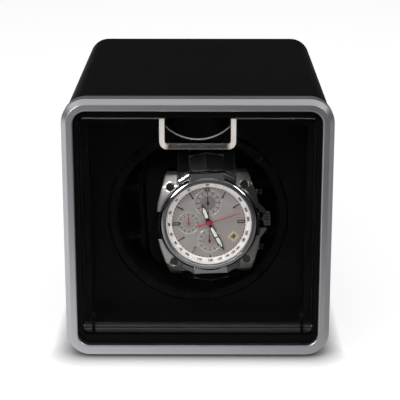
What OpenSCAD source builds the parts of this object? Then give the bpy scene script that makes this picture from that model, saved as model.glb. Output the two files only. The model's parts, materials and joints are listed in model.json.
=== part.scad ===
// Watch winder box for one wrist watch: housing, bezel, drop-front door, turning drum with its
// drive, rear controls, and the wrist watch on its cushion. +Z is up and the door faces -Y.

/* [Box] */
// Width across the bezel
box_w = 110; // [108:1:124]
// Height of the bezel
box_h = 110; // [108:1:124]
// Depth from the bezel's face to the rear rim
box_d = 145; // [131:1:170]
// Corner radius of the bezel
corner_r = 10; // [8.5:0.5:13]
// How far the bezel stands out past the housing
bezel_step = 0.7; // [0.4:0.1:1.2]
// Housing wall
wall = 3; // [2.6:0.2:3.4]
// Radius of the housing's rear edge
rear_edge_r = 2.4; // [1:0.2:2.5]
// Depth of the recess that the rear cover lies in
rear_recess = 6; // [5.5:0.5:9]
// How far the rubber feet lift the housing
foot_h = 1.5; // [1:0.1:2.5]
// Diameter of a foot
foot_d = 12; // [9:0.5:16]

/* [Bezel] */
// Depth of the bezel
bezel_d = 8; // [7.6:0.2:10]
// Width of the bezel's chamfer
bezel_chamfer = 2.1; // [1.2:0.1:2.4]
// Width of the bezel's flat face
bezel_face = 2.65; // [2.3:0.05:2.8]

/* [Door] */
// Thickness of the clear door
door_t = 2.5; // [2:0.1:2.9]
// Depth of the door's front face behind the bezel's face
door_set = 4.6; // [4.2:0.1:4.9]
// Width of the black border beside the door
door_side = 2.5; // [2.2:0.1:3]
// Height of the black border over the door
door_over = 3.5; // [2.5:0.1:4.5]
// Height of the black border under the door
door_under = 4.3; // [3.5:0.1:5.5]
// Radius of the door's hinge pins
pin_r = 0.9; // [0.7:0.05:1]
// Height of the hinge pins over the door's bottom edge
pin_up = 1.7; // [1.5:0.1:2.2]
// Width of the slot beside each hinge tongue
slot_w = 1.5; // [1:0.1:2]
// Height of the slot beside each hinge tongue
slot_h = 7.7; // [6:0.1:10]
// Width of each hinge tongue
tongue_w = 3.1; // [2.4:0.1:4]

/* [Finger pull] */
// Width of the finger pull
pull_w = 31; // [28:0.5:36]
// Height of the finger pull
pull_h = 12.7; // [12.2:0.1:13.2]
// Wall of the finger pull
pull_wall = 2.1; // [1.6:0.1:2.4]
// How far the finger pull stands out of the door
pull_out = 1.8; // [1:0.1:2.5]
// Straight height of the thumb notch
notch_straight = 3.7; // [2:0.1:4.5]
// Depth of the thumb notch's arc
notch_arc = 5.5; // [4:0.1:5.6]

/* [Compartment] */
// Depth of the baffle panel's front face
baffle_set = 22; // [21.5:0.5:24]
// Thickness of the baffle panel
baffle_t = 2.5; // [2:0.1:3]
// Width of the ledge behind the door's edge
ledge = 3.2; // [2.4:0.1:3.6]

/* [Drum] */
// Outer radius of the drum's rim
rim_r = 37.8; // [37:0.1:39]
// Inner radius of the drum's rim
rim_in_r = 34.1; // [33.8:0.1:34.6]
// Depth of the rim's front face
rim_set = 20.8; // [20.6:0.1:21.2]
// Thickness of the rim
rim_t = 2.4; // [2:0.1:3]
// Outer radius of the drum's cup
cup_r = 37; // [36.8:0.1:38]
// Wall of the cup
cup_wall = 1.6; // [1.2:0.1:1.8]
// Depth of the cup's floor behind the bezel's face
floor_set = 66.5; // [66.5:0.5:72]
// Thickness of the cup's floor
floor_t = 3; // [2.5:0.1:4]
// Angle at which the drum has stopped
drum_turn = 2.4; // [0:0.1:10]

/* [Drive] */
// Gear module
gear_module = 0.8; // [0.7:0.05:0.9]
// Teeth of the drum's gear
drum_teeth = 48; // [44:4:52]
// Teeth of the motor's pinion
pinion_teeth = 16; // [16:4:20]
// Thickness of the gears
gear_t = 5; // [4:0.5:6]
// Radius of the drum's shaft
shaft_r = 3; // [2.5:0.1:3.5]
// Thickness of the chassis plate and the motor plate
plate_t = 3; // [2.5:0.1:3.5]
// Gap between the two plates
plate_gap = 12; // [11:0.5:14]
// Radius of the motor's gearbox
gearbox_r = 12.5; // [11:0.5:14]
// Depth of the motor's gearbox
gearbox_d = 14; // [12:0.5:15]
// Radius of the motor's can
motor_r = 11; // [9:0.5:12]
// Length of the motor's can
motor_l = 14; // [10:0.5:15]

/* [Rear] */
// Thickness of the rear cover
cover_t = 3; // [2.5:0.1:3.5]
// Width of the circuit board
board_w = 72; // [66:1:76]
// Height of the circuit board
board_h = 32; // [28:1:34]
// Distance between the two knobs
knob_gap = 36; // [30:1:44]
// Height of the knobs over the middle of the box
knob_up = 26; // [22:1:30]
// Radius of a knob
knob_r = 7; // [6:0.5:9]
// Turn between the ends of the direction knob's travel
direction_travel = 90; // [60:5:120]
// Turn between the ends of the turns knob's travel
turns_travel = 120; // [60:5:150]

/* [Cushion] */
// Width of the cushion
cushion_w = 46.4; // [44:0.2:47]
// Height of the cushion
cushion_h = 48.4; // [46:0.2:49]
// Depth of the cushion
cushion_d = 33.5; // [30:0.5:36.5]
// Corner radius of the cushion
cushion_r = 9; // [6:0.5:12]

/* [Watch] */
// Sideways place of the watch on its cushion
watch_x = 4.5; // [0:0.5:5]
// Depth of the dial's face behind the bezel's face
dial_set = 14.5; // [13.5:0.1:15]
// Radius of the watch case
case_r = 22; // [21.5:0.1:22.2]
// Outer radius of the watch's polished bezel
lunette_r = 20.8; // [20.4:0.1:21.2]
// Radius of the dial opening
dial_r = 17.8; // [17:0.1:18.2]
// Height of the watch case from the dial's face to the case back
case_h = 8.8; // [8:0.1:9.5]
// Width of the bracelet between the lugs
lug_w = 24; // [22:0.5:24]
// Width of each lug at its tip
lug_t = 4.2; // [3.8:0.1:4.6]
// Distance from the watch's middle to a lug's tip
lug_reach = 23; // [22.6:0.1:23.6]
// Pitch of the bracelet's links
link_pitch = 7; // [6:0.1:8]
// Thickness of the bracelet's links
link_t = 3; // [2.4:0.1:3]
// Width of the bracelet's outer links
side_link_w = 4.6; // [4:0.1:5.2]
// Width of the bracelet at its clasp
clasp_w = 19.6; // [18:0.2:22]
// How far the ridge of the centre links stands out of the bracelet
ridge = 0.9; // [0.4:0.1:1.2]

/* [Time shown] */
// Clockwise turn of the hour hand from 12
hour_turn = 342.5; // [0:0.5:359.5]
// Clockwise turn of the minute hand from 12
minute_turn = 154; // [0:0.5:359.5]
// Clockwise turn of the sweep hand from 12
sweep_turn = 73.9; // [0:0.1:359.9]
// Clockwise turn of the small seconds hand
seconds_turn = 0; // [0:1:359]

/* [Hidden] */
$fn = 96;
fit = 0.05;          // running fit, on the radius
clear = 0.15;        // clearance of a piece that drops into another
seat_gap = 0.3;      // gap between a soft or turning piece and its neighbour

// Box
front = -box_d / 2;
house_w = box_w - 2 * bezel_step;
house_h = box_h - 2 * bezel_step;
house_r = corner_r - bezel_step;
bore_w = house_w - 2 * wall;
bore_h = house_h - 2 * wall;
bore_r = house_r - wall;
mid_z = foot_h + house_h / 2;
cover_set = box_d - rear_recess - cover_t;
post_r = 5;
post_in = 4.5;
post_x = bore_w / 2 - post_in;
post_z = bore_h / 2 - post_in;
foot_sunk = 0.8;
foot_x = house_w / 2 - foot_d / 2 - 7;
foot_front = bezel_d + 6 + foot_d / 2;
foot_rear = box_d - 8 - foot_d / 2;

// Bezel and door
rail = bezel_chamfer + bezel_face;
window_w = box_w - 2 * rail;
window_h = box_h - 2 * rail;
window_r = corner_r - rail;
bezel_break = 0.4;
frame_set = 3;
flange_t = 3;
door_w = window_w - 2 * door_side;
door_h = window_h - door_over - door_under;
door_r = 2;
door_z = (door_under - door_over) / 2;
door_top = door_z + door_h / 2;
door_back = door_set + door_t;
pocket_gap = 0.4;
pocket_under = 0.7;
pivot_z = door_z - door_h / 2 + pin_up;
hinge_bar_r = pin_up;
pivot_d = door_set + door_t / 2;
pin_end = window_w / 2 - 0.35;
sleeve_w = door_w - 2 * ledge;
sleeve_h = door_h - 2 * ledge;
sleeve_wall = 1.8;
ledge_set = door_back + seat_gap;
boss_r = 3;
boss_x = sleeve_w / 2 + 2.9;
boss_z = sleeve_h / 2 + 2.4;
screw_r = 1.2;
screw_head_r = 2.3;
screw_head_t = 1.4;
slot_l = 2.6;
slot_t = 0.5;
slot_deep = 0.7;
notch_w = pull_w - 2 * pull_wall - 0.4;
notch_r = (notch_w * notch_w / 4 + notch_arc * notch_arc) / (2 * notch_arc);
pull_r = 3.2;
peg_r = 0.8;
scoop_w = pull_w + 3;
scoop_r = 12.5;
scoop_wall = 2;
scoop_back = pivot_d + scoop_r + scoop_wall - 1;

// Drum and drive
cup_in_r = cup_r - cup_wall;
floor_back = floor_set + floor_t;
hub_r = 7;
flange_r = 7;
bush_flange_t = 1;
bush_r = 5.5;
terminal_l = 2.2;
motor_clear = 2;
chassis_set = cover_set - motor_clear - terminal_l - motor_l - gearbox_d - 2 * plate_t - plate_gap;
hub_t = chassis_set - bush_flange_t - seat_gap - floor_back;
chassis_back = chassis_set + plate_t;
plate_set = chassis_back + plate_gap;
plate_back = plate_set + plate_t;
gear_set = chassis_back + (plate_gap - gear_t) / 2;
gear_hub_t = plate_gap - 1;
centres = gear_module * (drum_teeth + pinion_teeth) / 2 + 0.1;
motor_z = -centres;
motor_back = plate_back + gearbox_d + motor_l;
motor_shaft_r = 1.5;
motor_screw_x = gearbox_r - 3;
terminal_x = 6;
motor_plate_w = 60;
motor_plate_top = 20;
motor_plate_under = gearbox_r + 4.5;
clip_t = 0.8;
shaft_end = plate_back + bush_flange_t + 3;
standoff_x = motor_plate_w / 2 - 4;
standoffs = [
    [-standoff_x, 14], [standoff_x, 14],
    [6 - standoff_x, motor_z - gearbox_r + 0.5], [standoff_x - 6, motor_z - gearbox_r + 0.5]
];
standoff_r = 3.2;

// Holder and cushion
case_back_set = dial_set + case_h;
cushion_set = case_back_set + seat_gap;
cushion_back = cushion_set + cushion_d;
cheek_t = 1.8;
cheek_h = 34;
cheek_x = cushion_w / 2 + seat_gap;
cheek_set = 32;
holder_back = floor_set - seat_gap;
rib_z = 10;
rib_t = 2;

// Rear parts
board_t = 1.6;
board_gap = 8.4;
board_set = cover_set - board_gap - board_t;
switch_w = 13;
switch_t = 6.4;
switch_neck_r = 4.4;
knob_shaft_r = 2.6;
knob_set = cover_set + cover_t + 0.6;
knob_t = rear_recess - 1.1;
inlet_x = -26;
inlet_z = -30;
inlet_r = 5.4;
inlet_body = 8;
lead_r = 0.6;

// Watch, in its own frame: x right, y up, z out of the dial
lunette_top = 3.6;
lunette_low = 1.6;
crystal_under = 2;
crystal_edge = 3;
crystal_dome = 0.5;
watch_z = -0.8;
dial_t = 0.4;
sub_r = dial_r * [0.32, 0.253, 0.275];
sub_at = dial_r * [[0, 0.478], [-0.472, 0], [0, -0.455]];
sub_step = 0.12;
date_at = dial_r * [0.573, -0.371];
date_turn = -42;
date_w = 2.6;
date_frame = 0.45;
ring_in_r = dial_r - 2.3;
lug_x = lug_w / 2 + 0.2;
crown_y = 0;
pusher_y = [12.2, -12.2];
pusher_r = 1.8;
pusher_cap = 2.5;
pusher_seat = case_r - 2.6;
hour_length = 0.483 * dial_r;
minute_length = 0.792 * dial_r;
sweep_length = 0.787 * dial_r;
hand_w = 2.1;
lume_rim = 0.36;
stem_r = 1;
pusher_travel = 0.8;
crown_r = 2.9;
crown_x = case_r + 0.8;
crown_len = 3.3;
stem_z = -2.8;
flank_y = 6;
shoulder_w = lug_w / 2 - side_link_w;
shoulder_y = lug_reach - 1.2;
lug_screw_at = [lug_x + 3.2, lug_reach - 6.6];
lug_screw_r = 1.45;
lug_screw_t = 1.2;

// Bracelet: a loop that runs back over the cushion, down behind it and forward under it
run_z = cushion_h / 2 + seat_gap + link_t / 2;
run_back = cushion_back + seat_gap + link_t / 2;
turn_r = cushion_r + seat_gap + link_t / 2;
run_start = case_back_set + 3;
straight_run = run_back - turn_r - run_start;
quarter = PI * turn_r / 2;
half_drop = run_z - turn_r;
half_loop = straight_run + quarter + half_drop;
clasp_rows = 3;
row_count = floor((half_loop - clasp_rows * link_pitch / 2) / link_pitch);
pin_hole_r = 0.6;
link_pin_r = 0.45;
link_gap = 0.3;

// A solid from depth d0 to depth d1 behind the bezel's face, of an outline in x and z
module slab(d0, d1) {
    translate([0, front + d1, mid_z]) rotate([90, 0, 0]) linear_extrude(d1 - d0) children();
}

// Children in the face frame: x right, y up, z out of the front, from depth d
module facing(d, x = 0, z = 0) {
    translate([x, front + d, mid_z + z]) rotate([90, 0, 0]) children();
}

// A round rod along the depth
module rod(d0, d1, r, x = 0, z = 0) {
    facing(d1, x, z) cylinder(r = r, h = d1 - d0);
}

module rounded(w, h, r) {
    square([w - 2 * r, h], center = true);
    square([w, h - 2 * r], center = true);
    for (sx = [-1, 1], sy = [-1, 1]) translate([sx * (w / 2 - r), sy * (h / 2 - r)]) circle(r = r);
}

// A profile carried round a rounded rectangle: its x is the distance from the corner's centre and
// its y is the depth
module swept_rim(w, h, r) {
    for (q = [0:3]) {
        a = (q % 2 == 0) ? w / 2 - r : h / 2 - r;
        b = (q % 2 == 0) ? h / 2 - r : w / 2 - r;
        rotate([0, 0, 90 * q]) {
            translate([a, b, 0]) rotate_extrude(angle = 90) children();
            translate([a, -b, 0]) rotate([90, 0, 180]) mirror([1, 0, 0]) linear_extrude(2 * b) children();
        }
    }
}

module four_corners(x, z) {
    for (sx = [-1, 1], sz = [-1, 1]) translate([sx * x, 0, sz * z]) children();
}

// Housing
module housing() {
    color([0.09, 0.09, 0.09]) difference() {
        union() {
            difference() {
                union() {
                    slab(bezel_d, box_d - rear_edge_r) rounded(house_w, house_h, house_r);
                    translate([0, front + box_d - rear_edge_r, mid_z]) rotate([-90, 0, 0])
                        swept_rim(house_w, house_h, house_r) intersection() {
                            translate([house_r - rear_edge_r, 0]) circle(r = rear_edge_r);
                            translate([house_r - rear_edge_r, 0]) square(rear_edge_r);
                        }
                    slab(box_d - 2 * rear_edge_r, box_d)
                        rounded(house_w - 2 * rear_edge_r, house_h - 2 * rear_edge_r, house_r - rear_edge_r);
                }
                slab(bezel_d - 1, box_d + 1) rounded(bore_w, bore_h, bore_r);
            }
            four_corners(post_x, post_z) rod(chassis_back, cover_set, post_r);
        }
        four_corners(post_x, post_z) {
            rod(chassis_back - 1, chassis_back + 10, screw_r);
            rod(cover_set - 10, cover_set + 1, screw_r);
        }
        foot_places() translate([0, 0, -1]) cylinder(r = foot_d / 2 + fit, h = foot_sunk + 1);
    }
}

module foot_places() {
    for (sx = [-1, 1], d = [foot_front, foot_rear]) translate([sx * foot_x, front + d, foot_h]) children();
}

module feet() {
    color([0.16, 0.16, 0.17]) foot_places() translate([0, 0, -foot_h])
        rotate_extrude() polygon([
            [0, 0], [foot_d / 2 - 0.6, 0], [foot_d / 2, 0.6],
            [foot_d / 2, foot_h + foot_sunk], [0, foot_h + foot_sunk]
        ]);
}

// Bezel
module bezel() {
    color([0.72, 0.73, 0.75]) translate([0, front, mid_z]) rotate([-90, 0, 0])
        swept_rim(box_w, box_h, corner_r) polygon([
            [corner_r - rail, bezel_break], [corner_r - rail + bezel_break, 0],
            [corner_r - bezel_chamfer, 0], [corner_r, bezel_chamfer],
            [corner_r, bezel_d], [corner_r - rail, bezel_d]
        ]);
}

// Front frame: the black border round the door, the compartment's sleeve and the finger scoop
module front_frame() {
    color([0.05, 0.05, 0.05]) difference() {
        union() {
            difference() {
                union() {
                    slab(frame_set, bezel_d)
                        rounded(window_w - 2 * clear, window_h - 2 * clear, window_r - clear);
                    slab(bezel_d, bezel_d + flange_t) rounded(bore_w - 2 * clear, bore_h - 2 * clear, bore_r);
                    translate([0, 0, door_z]) slab(bezel_d, baffle_set)
                        rounded(sleeve_w + 2 * sleeve_wall, sleeve_h + 2 * sleeve_wall, door_r + sleeve_wall);
                }
                door_pocket();
                translate([0, 0, door_z]) slab(frame_set, baffle_set + 1) rounded(sleeve_w, sleeve_h, door_r);
            }
            four_corners(boss_x, boss_z) translate([0, 0, door_z]) rod(bezel_d, baffle_set, boss_r);
            scoop_block();
        }
        four_corners(boss_x, boss_z) translate([0, 0, door_z]) rod(baffle_set - 8, baffle_set + 1, screw_r);
        scoop_hollow();
        hinge_axis(window_w + 2, pin_r + fit);
        hinge_axis(door_w + 2 * pocket_gap, sqrt(pin_up * pin_up + door_t * door_t / 4) + seat_gap);
    }
}

module door_pocket() {
    translate([0, 0, door_z + (pocket_gap - pocket_under) / 2]) slab(frame_set - 1, ledge_set)
        rounded(door_w + 2 * pocket_gap, door_h + pocket_gap + pocket_under, door_r);
}

module hinge_axis(length, r) {
    translate([-length / 2, front + pivot_d, mid_z + pivot_z]) rotate([0, 90, 0]) cylinder(r = r, h = length);
}

module scoop_block() {
    top = door_z + sleeve_h / 2 + 1;
    bottom = door_top - pull_h + 0.2;
    translate([0, 0, (top + bottom) / 2]) slab(ledge_set, scoop_back)
        square([scoop_w, top - bottom], center = true);
}

module scoop_hollow() {
    depth = pull_h + 2;
    translate([0, front + pivot_d - 1, mid_z + door_top - depth + 0.6]) intersection() {
        cylinder(r = scoop_r, h = depth);
        translate([-scoop_r, ledge_set - pivot_d, 0]) cube([2 * scoop_r, 2 * scoop_r, depth - pocket_gap]);
    }
}

// Door
module door_outline() {
    difference() {
        translate([0, door_z]) rounded(door_w, door_h, door_r);
        translate([0, door_top]) notch_2d();
        for (sx = [-1, 1]) translate([sx * (door_w / 2 - tongue_w - slot_w / 2), door_z - door_h / 2]) {
            translate([-slot_w / 2, -1]) square([slot_w, slot_h - slot_w / 2 + 1]);
            translate([0, slot_h - slot_w / 2]) circle(r = slot_w / 2);
        }
    }
}

module notch_2d() {
    intersection() {
        translate([-notch_w / 2, -notch_straight - notch_arc - 1])
            square([notch_w, notch_straight + notch_arc + 2]);
        union() {
            translate([0, -notch_straight - notch_arc + notch_r]) circle(r = notch_r);
            translate([-notch_w / 2, -notch_straight]) square([notch_w, notch_straight + 2]);
        }
    }
}

module door() {
    split = door_w / 2 - tongue_w - slot_w;
    color([0.75, 0.8, 0.82, 0.3]) difference() {
        union() {
            slab(door_set, door_back) door_outline();
            hinge_bar(-split, split, hinge_bar_r);
            for (side = [0, 1]) mirror([side, 0, 0]) {
                hinge_bar(door_w / 2 - tongue_w, door_w / 2, hinge_bar_r);
                hinge_bar(door_w / 2 - 1, pin_end, pin_r);
            }
        }
        pull_pegs() rod(door_set - 1, door_back + 1, peg_r + fit);
    }
}

module hinge_bar(x0, x1, r) {
    translate([x0, front + pivot_d, mid_z + pivot_z]) rotate([0, 90, 0]) cylinder(r = r, h = x1 - x0);
}

module pull_pegs() {
    for (sx = [-1, 1], up = [3, pull_h - pull_wall - 1])
        translate([sx * (pull_w - pull_wall) / 2, 0, door_top - up]) children();
}

module door_pull() {
    color([0.86, 0.85, 0.82]) {
        translate([0, 0, door_top]) slab(door_set - pull_out, door_set) difference() {
            pull_2d(pull_w / 2, pull_h, pull_r);
            translate([0, 1]) pull_2d(pull_w / 2 - pull_wall, pull_h - pull_wall + 1, pull_r - pull_wall);
        }
        pull_pegs() rod(door_set - 0.5, door_back - 0.2, peg_r);
    }
}

// A tab that hangs down h from y = 0, with rounded lower corners
module pull_2d(half_w, h, r) {
    translate([-half_w, -h + r]) square([2 * half_w, h - r]);
    translate([-half_w + r, -h]) square([2 * (half_w - r), h]);
    for (sx = [-1, 1]) translate([sx * (half_w - r), -h + r]) circle(r = r);
}

// Baffle panel
module baffle_panel() {
    color([0.06, 0.06, 0.06]) difference() {
        slab(baffle_set, baffle_set + baffle_t) difference() {
            rounded(bore_w - 2 * clear, bore_h - 2 * clear, bore_r);
            circle(r = rim_r + 0.5);
        }
        four_corners(boss_x, boss_z) translate([0, 0, door_z])
            rod(baffle_set - 1, baffle_set + baffle_t + 1, screw_r + 0.2);
    }
}

// A round-headed screw whose head sits at depth d and faces the back
module rear_screw(d, length) {
    rod(d - length, d, screw_r - fit);
    facing(d + screw_head_t) difference() {
        cylinder(r = screw_head_r, h = screw_head_t);
        for (a = [0, 90]) rotate([0, 0, a])
            translate([-slot_l / 2, -slot_t / 2, slot_deep - 1.7]) cube([slot_l, slot_t, 1.7]);
    }
}

module front_screw(d, length) {
    rod(d, d + length, screw_r - fit);
    facing(d) difference() {
        cylinder(r = screw_head_r, h = screw_head_t);
        for (a = [0, 90]) rotate([0, 0, a])
            translate([-slot_l / 2, -slot_t / 2, screw_head_t - slot_deep]) cube([slot_l, slot_t, 1.7]);
    }
}

module baffle_screws() {
    color([0.55, 0.55, 0.57]) four_corners(boss_x, boss_z) translate([0, 0, door_z])
        rear_screw(baffle_set + baffle_t, 8);
}

// Drum: rim, cup, floor and hub in one moulding
module in_drum() {
    translate([0, 0, mid_z]) rotate([0, -drum_turn, 0]) translate([0, 0, -mid_z]) children();
}

module drum() {
    color([0.12, 0.12, 0.13]) in_drum() difference() {
        union() {
            facing(floor_back + hub_t) rotate_extrude() cup_profile();
            for (sx = [-1, 1], sz = [-1, 1]) guide_rib(sx, sz);
        }
        for (a = [47, 227]) facing(rim_set) rotate([0, 0, a]) translate([rim_in_r - 3, 0, 7])
            rotate([0, 90, 0]) cylinder(r = 8, h = 10);
        rod(floor_set - 1, floor_back + hub_t + 1, shaft_r + fit);
    }
}

// Half section of the cup, with y measured forward from the hub's end
module cup_profile() {
    rim = floor_back + hub_t - rim_set;
    floor_y = hub_t + floor_t;
    polygon([
        [0, 0], [hub_r, 0], [hub_r, hub_t], [cup_r - 2, hub_t], [cup_r, hub_t + 2],
        [cup_r, rim - rim_t], [rim_r, rim - rim_t + 0.6], [rim_r, rim - 0.6], [rim_r - 0.6, rim],
        [rim_in_r + 0.6, rim], [rim_in_r, rim - 0.6], [rim_in_r, rim - rim_t],
        [cup_in_r, rim - rim_t - 1.4], [cup_in_r, floor_y], [0, floor_y]
    ]);
}

module guide_rib(sx, sz) {
    root_x = sqrt(cup_in_r * cup_in_r - (rib_z + rib_t) * (rib_z + rib_t)) + 0.6;
    inner_x = cheek_x + cheek_t + seat_gap;
    translate([0, 0, sz * (rib_z + rib_t / 2)]) slab(cheek_set - 2, floor_set + 0.5)
        translate([sx * (root_x + inner_x) / 2, 0]) square([root_x - inner_x, rib_t], center = true);
}

module drive_shaft() {
    color([0.7, 0.7, 0.72]) difference() {
        rod(floor_set + 0.6, shaft_end, shaft_r);
        difference() {
            rod(clip_set(), clip_set() + clip_t + 0.1, shaft_r + 1);
            rod(clip_set() - 1, clip_set() + clip_t + 1, shaft_r - 0.6);
        }
    }
}

function clip_set() = plate_back + bush_flange_t + 0.4;

module shaft_clip() {
    color([0.35, 0.35, 0.37]) difference() {
        rod(clip_set() + 0.05, clip_set() + 0.05 + clip_t, shaft_r + 2);
        rod(clip_set() - 1, clip_set() + 2, shaft_r - 0.55);
        translate([0, 0, shaft_r]) slab(clip_set() - 1, clip_set() + 2)
            square([shaft_r * 1.3, 2 * shaft_r], center = true);
    }
}

// Gears
function inv(a) = tan(a) * 180 / PI - a;
function half_tooth(r, pitch_r, teeth, slack) =
    let (base_r = pitch_r * cos(20), a = acos(min(1, base_r / r)))
    90 / teeth - slack * 90 / (PI * pitch_r) + inv(20) - inv(a);
function gear_points(teeth, addendum) =
    let (
        pitch_r = gear_module * teeth / 2,
        root_r = pitch_r - 1.3 * gear_module,
        tip_r = pitch_r + addendum * gear_module,
        radii = [root_r, max(root_r + 0.05, pitch_r * cos(20) + 0.02), pitch_r, tip_r]
    )
    [for (i = [0:teeth - 1], side = [-1, 1], k = [0:3])
        let (
            r = side < 0 ? radii[k] : radii[3 - k],
            a = 360 * i / teeth + side * half_tooth(r, pitch_r, teeth, 0.16)
        )
        [r * cos(a), r * sin(a)]];

module drum_gear() {
    root = gear_module * drum_teeth / 2 - 2.6;
    color([0.93, 0.93, 0.9]) difference() {
        union() {
            slab(gear_set, gear_set + gear_t) polygon(gear_points(drum_teeth, 0.92));
            rod(chassis_back + 0.5, chassis_back + 0.5 + gear_hub_t, hub_r - 1);
        }
        difference() {
            union() {
                rod(gear_set - 1, gear_set + 1.5, root - 1);
                rod(gear_set + gear_t - 1.5, gear_set + gear_t + 1, root - 1);
            }
            rod(gear_set - 2, gear_set + gear_t + 2, hub_r - 1);
        }
        for (a = [0:60:300]) facing(gear_set + gear_t + 1) rotate([0, 0, a + 30])
            translate([(root + hub_r - 2) / 2, 0, 0]) cylinder(r = 2.6, h = gear_t + 2);
        rod(chassis_back, plate_set, shaft_r + fit);
    }
}

module pinion() {
    color([0.93, 0.93, 0.9]) difference() {
        union() {
            slab(gear_set - 0.5, gear_set + gear_t + 0.5) translate([0, motor_z])
                rotate([0, 0, 90 - 180 / pinion_teeth]) polygon(gear_points(pinion_teeth, 0.92));
            rod(gear_set + gear_t, plate_set - 0.6, 3.4, z = motor_z);
        }
        rod(gear_set - 2, plate_set, motor_shaft_r + fit, z = motor_z);
    }
}

// Bearings, plates and motor
module bushing(flange_d, body_d0, body_d1) {
    difference() {
        union() {
            rod(flange_d, flange_d + bush_flange_t, flange_r);
            rod(body_d0, body_d1, bush_r);
        }
        rod(flange_d - 20, flange_d + 20, shaft_r + fit);
    }
}

module front_bushing() {
    color([0.72, 0.53, 0.3]) bushing(chassis_set - bush_flange_t, chassis_set - 0.5, chassis_back);
}

module rear_bushing() {
    color([0.72, 0.53, 0.3]) bushing(plate_back, plate_set, plate_back + 0.5);
}

module chassis_plate() {
    color([0.2, 0.2, 0.21]) difference() {
        union() {
            slab(chassis_set, chassis_back) rounded(bore_w - 2 * clear, bore_h - 2 * clear, bore_r);
            for (p = standoffs) rod(chassis_back - 0.5, plate_set, standoff_r, p[0], p[1]);
        }
        rod(chassis_set - 1, chassis_back + 1, bush_r + fit);
        for (p = standoffs) rod(plate_set - 9, plate_set + 1, screw_r, p[0], p[1]);
        four_corners(post_x, post_z) rod(chassis_set - 1, chassis_back + 1, screw_r + 0.2);
    }
}

module chassis_screws() {
    color([0.55, 0.55, 0.57]) four_corners(post_x, post_z) front_screw(chassis_set, 10);
}

module motor_plate() {
    bottom = motor_z - motor_plate_under;
    color([0.6, 0.61, 0.62]) difference() {
        translate([0, 0, (motor_plate_top + bottom) / 2]) slab(plate_set, plate_back)
            rounded(motor_plate_w, motor_plate_top - bottom, 4);
        rod(plate_set - 1, plate_back + 1, bush_r + fit);
        rod(plate_set - 1, plate_back + 1, 4.2, z = motor_z);
        for (p = standoffs) rod(plate_set - 1, plate_back + 1, screw_r + 0.2, p[0], p[1]);
        for (sx = [-1, 1]) rod(plate_set - 1, plate_back + 1, screw_r + 0.2, sx * motor_screw_x, motor_z);
    }
}

module motor_plate_screws() {
    color([0.55, 0.55, 0.57]) for (p = standoffs) translate([p[0], 0, p[1]]) rear_screw(plate_back, 10);
}

module motor() {
    color([0.66, 0.67, 0.68]) difference() {
        union() {
            rod(plate_back, plate_back + gearbox_d, gearbox_r, z = motor_z);
            rod(plate_set + 0.4, plate_back, 4, z = motor_z);
            rod(plate_back + gearbox_d, motor_back, motor_r, z = motor_z);
            rod(motor_back, motor_back + 1.2, 3, z = motor_z);
            for (sx = [-1, 1]) translate([sx * terminal_x, 0, motor_z])
                slab(motor_back, motor_back + terminal_l) square([2.4, 0.6], center = true);
        }
        rod(plate_set, plate_back + 8, motor_shaft_r + fit, z = motor_z);
        for (sx = [-1, 1]) rod(plate_back - 1, plate_back + 6, screw_r, sx * motor_screw_x, motor_z);
    }
}

module motor_screws() {
    color([0.55, 0.55, 0.57]) for (sx = [-1, 1]) translate([sx * motor_screw_x, 0, motor_z])
        front_screw(plate_set, plate_t + 4);
}

module motor_shaft() {
    color([0.75, 0.75, 0.77]) rod(gear_set - 0.5, plate_back + 7, motor_shaft_r, z = motor_z);
}

// Rear cover and what it carries
module knob_places() {
    for (sx = [-1, 1]) translate([sx * knob_gap / 2, 0, knob_up]) children();
}

module board_posts() {
    for (sx = [-1, 1], sz = [-1, 1])
        translate([sx * (board_w / 2 - 4), 0, knob_up + sz * (board_h / 2 - 4)]) children();
}

module rear_cover() {
    color([0.1, 0.1, 0.1]) difference() {
        union() {
            slab(cover_set, cover_set + cover_t) rounded(bore_w - 2 * clear, bore_h - 2 * clear, bore_r);
            board_posts() rod(board_set + board_t, cover_set + 0.5, 2.6);
        }
        four_corners(post_x, post_z) {
            rod(cover_set - 1, cover_set + cover_t + 1, screw_r + 0.2);
            rod(cover_set + 1.4, cover_set + cover_t + 1, screw_head_r + 0.3);
        }
        board_posts() rod(board_set, cover_set - 0.6, screw_r);
        knob_places() rod(cover_set - 1, cover_set + cover_t + 1, switch_neck_r + clear);
        rod(cover_set - 1, cover_set + cover_t + 1, inlet_r + clear, inlet_x, inlet_z);
    }
}

module cover_screws() {
    color([0.3, 0.3, 0.31]) {
        four_corners(post_x, post_z) rear_screw(cover_set + 1.4, 10);
        board_posts() front_screw(board_set, 7);
    }
}

module circuit_board() {
    color([0.1, 0.36, 0.2]) difference() {
        translate([0, 0, knob_up]) slab(board_set, board_set + board_t)
            square([board_w, board_h], center = true);
        board_posts() rod(board_set - 1, board_set + board_t + 1, screw_r + 0.2);
    }
}

module board_parts() {
    color([0.14, 0.14, 0.15]) {
        translate([0, 0, knob_up]) slab(board_set - 1.6, board_set) square([10, 6], center = true);
        for (i = [-2:2]) translate([4 * i, 0, knob_up - 9]) slab(board_set - 1, board_set)
            square([1.6, 2.6], center = true);
        rod(board_set - 9, board_set, 3.2, x = -board_w / 2 + 14, z = knob_up);
        translate([board_w / 2 - 12, 0, knob_up]) slab(board_set - 6, board_set)
            square([7.4, 5.4], center = true);
    }
}

module selector_switches() {
    color([0.5, 0.51, 0.52]) knob_places() difference() {
        union() {
            slab(board_set + board_t, board_set + board_t + switch_t) square(switch_w, center = true);
            rod(board_set + board_t + switch_t - 0.5, cover_set + cover_t, switch_neck_r);
        }
        rod(board_set + board_t + 1.5, cover_set + cover_t + 1, knob_shaft_r + fit);
    }
}

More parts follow.
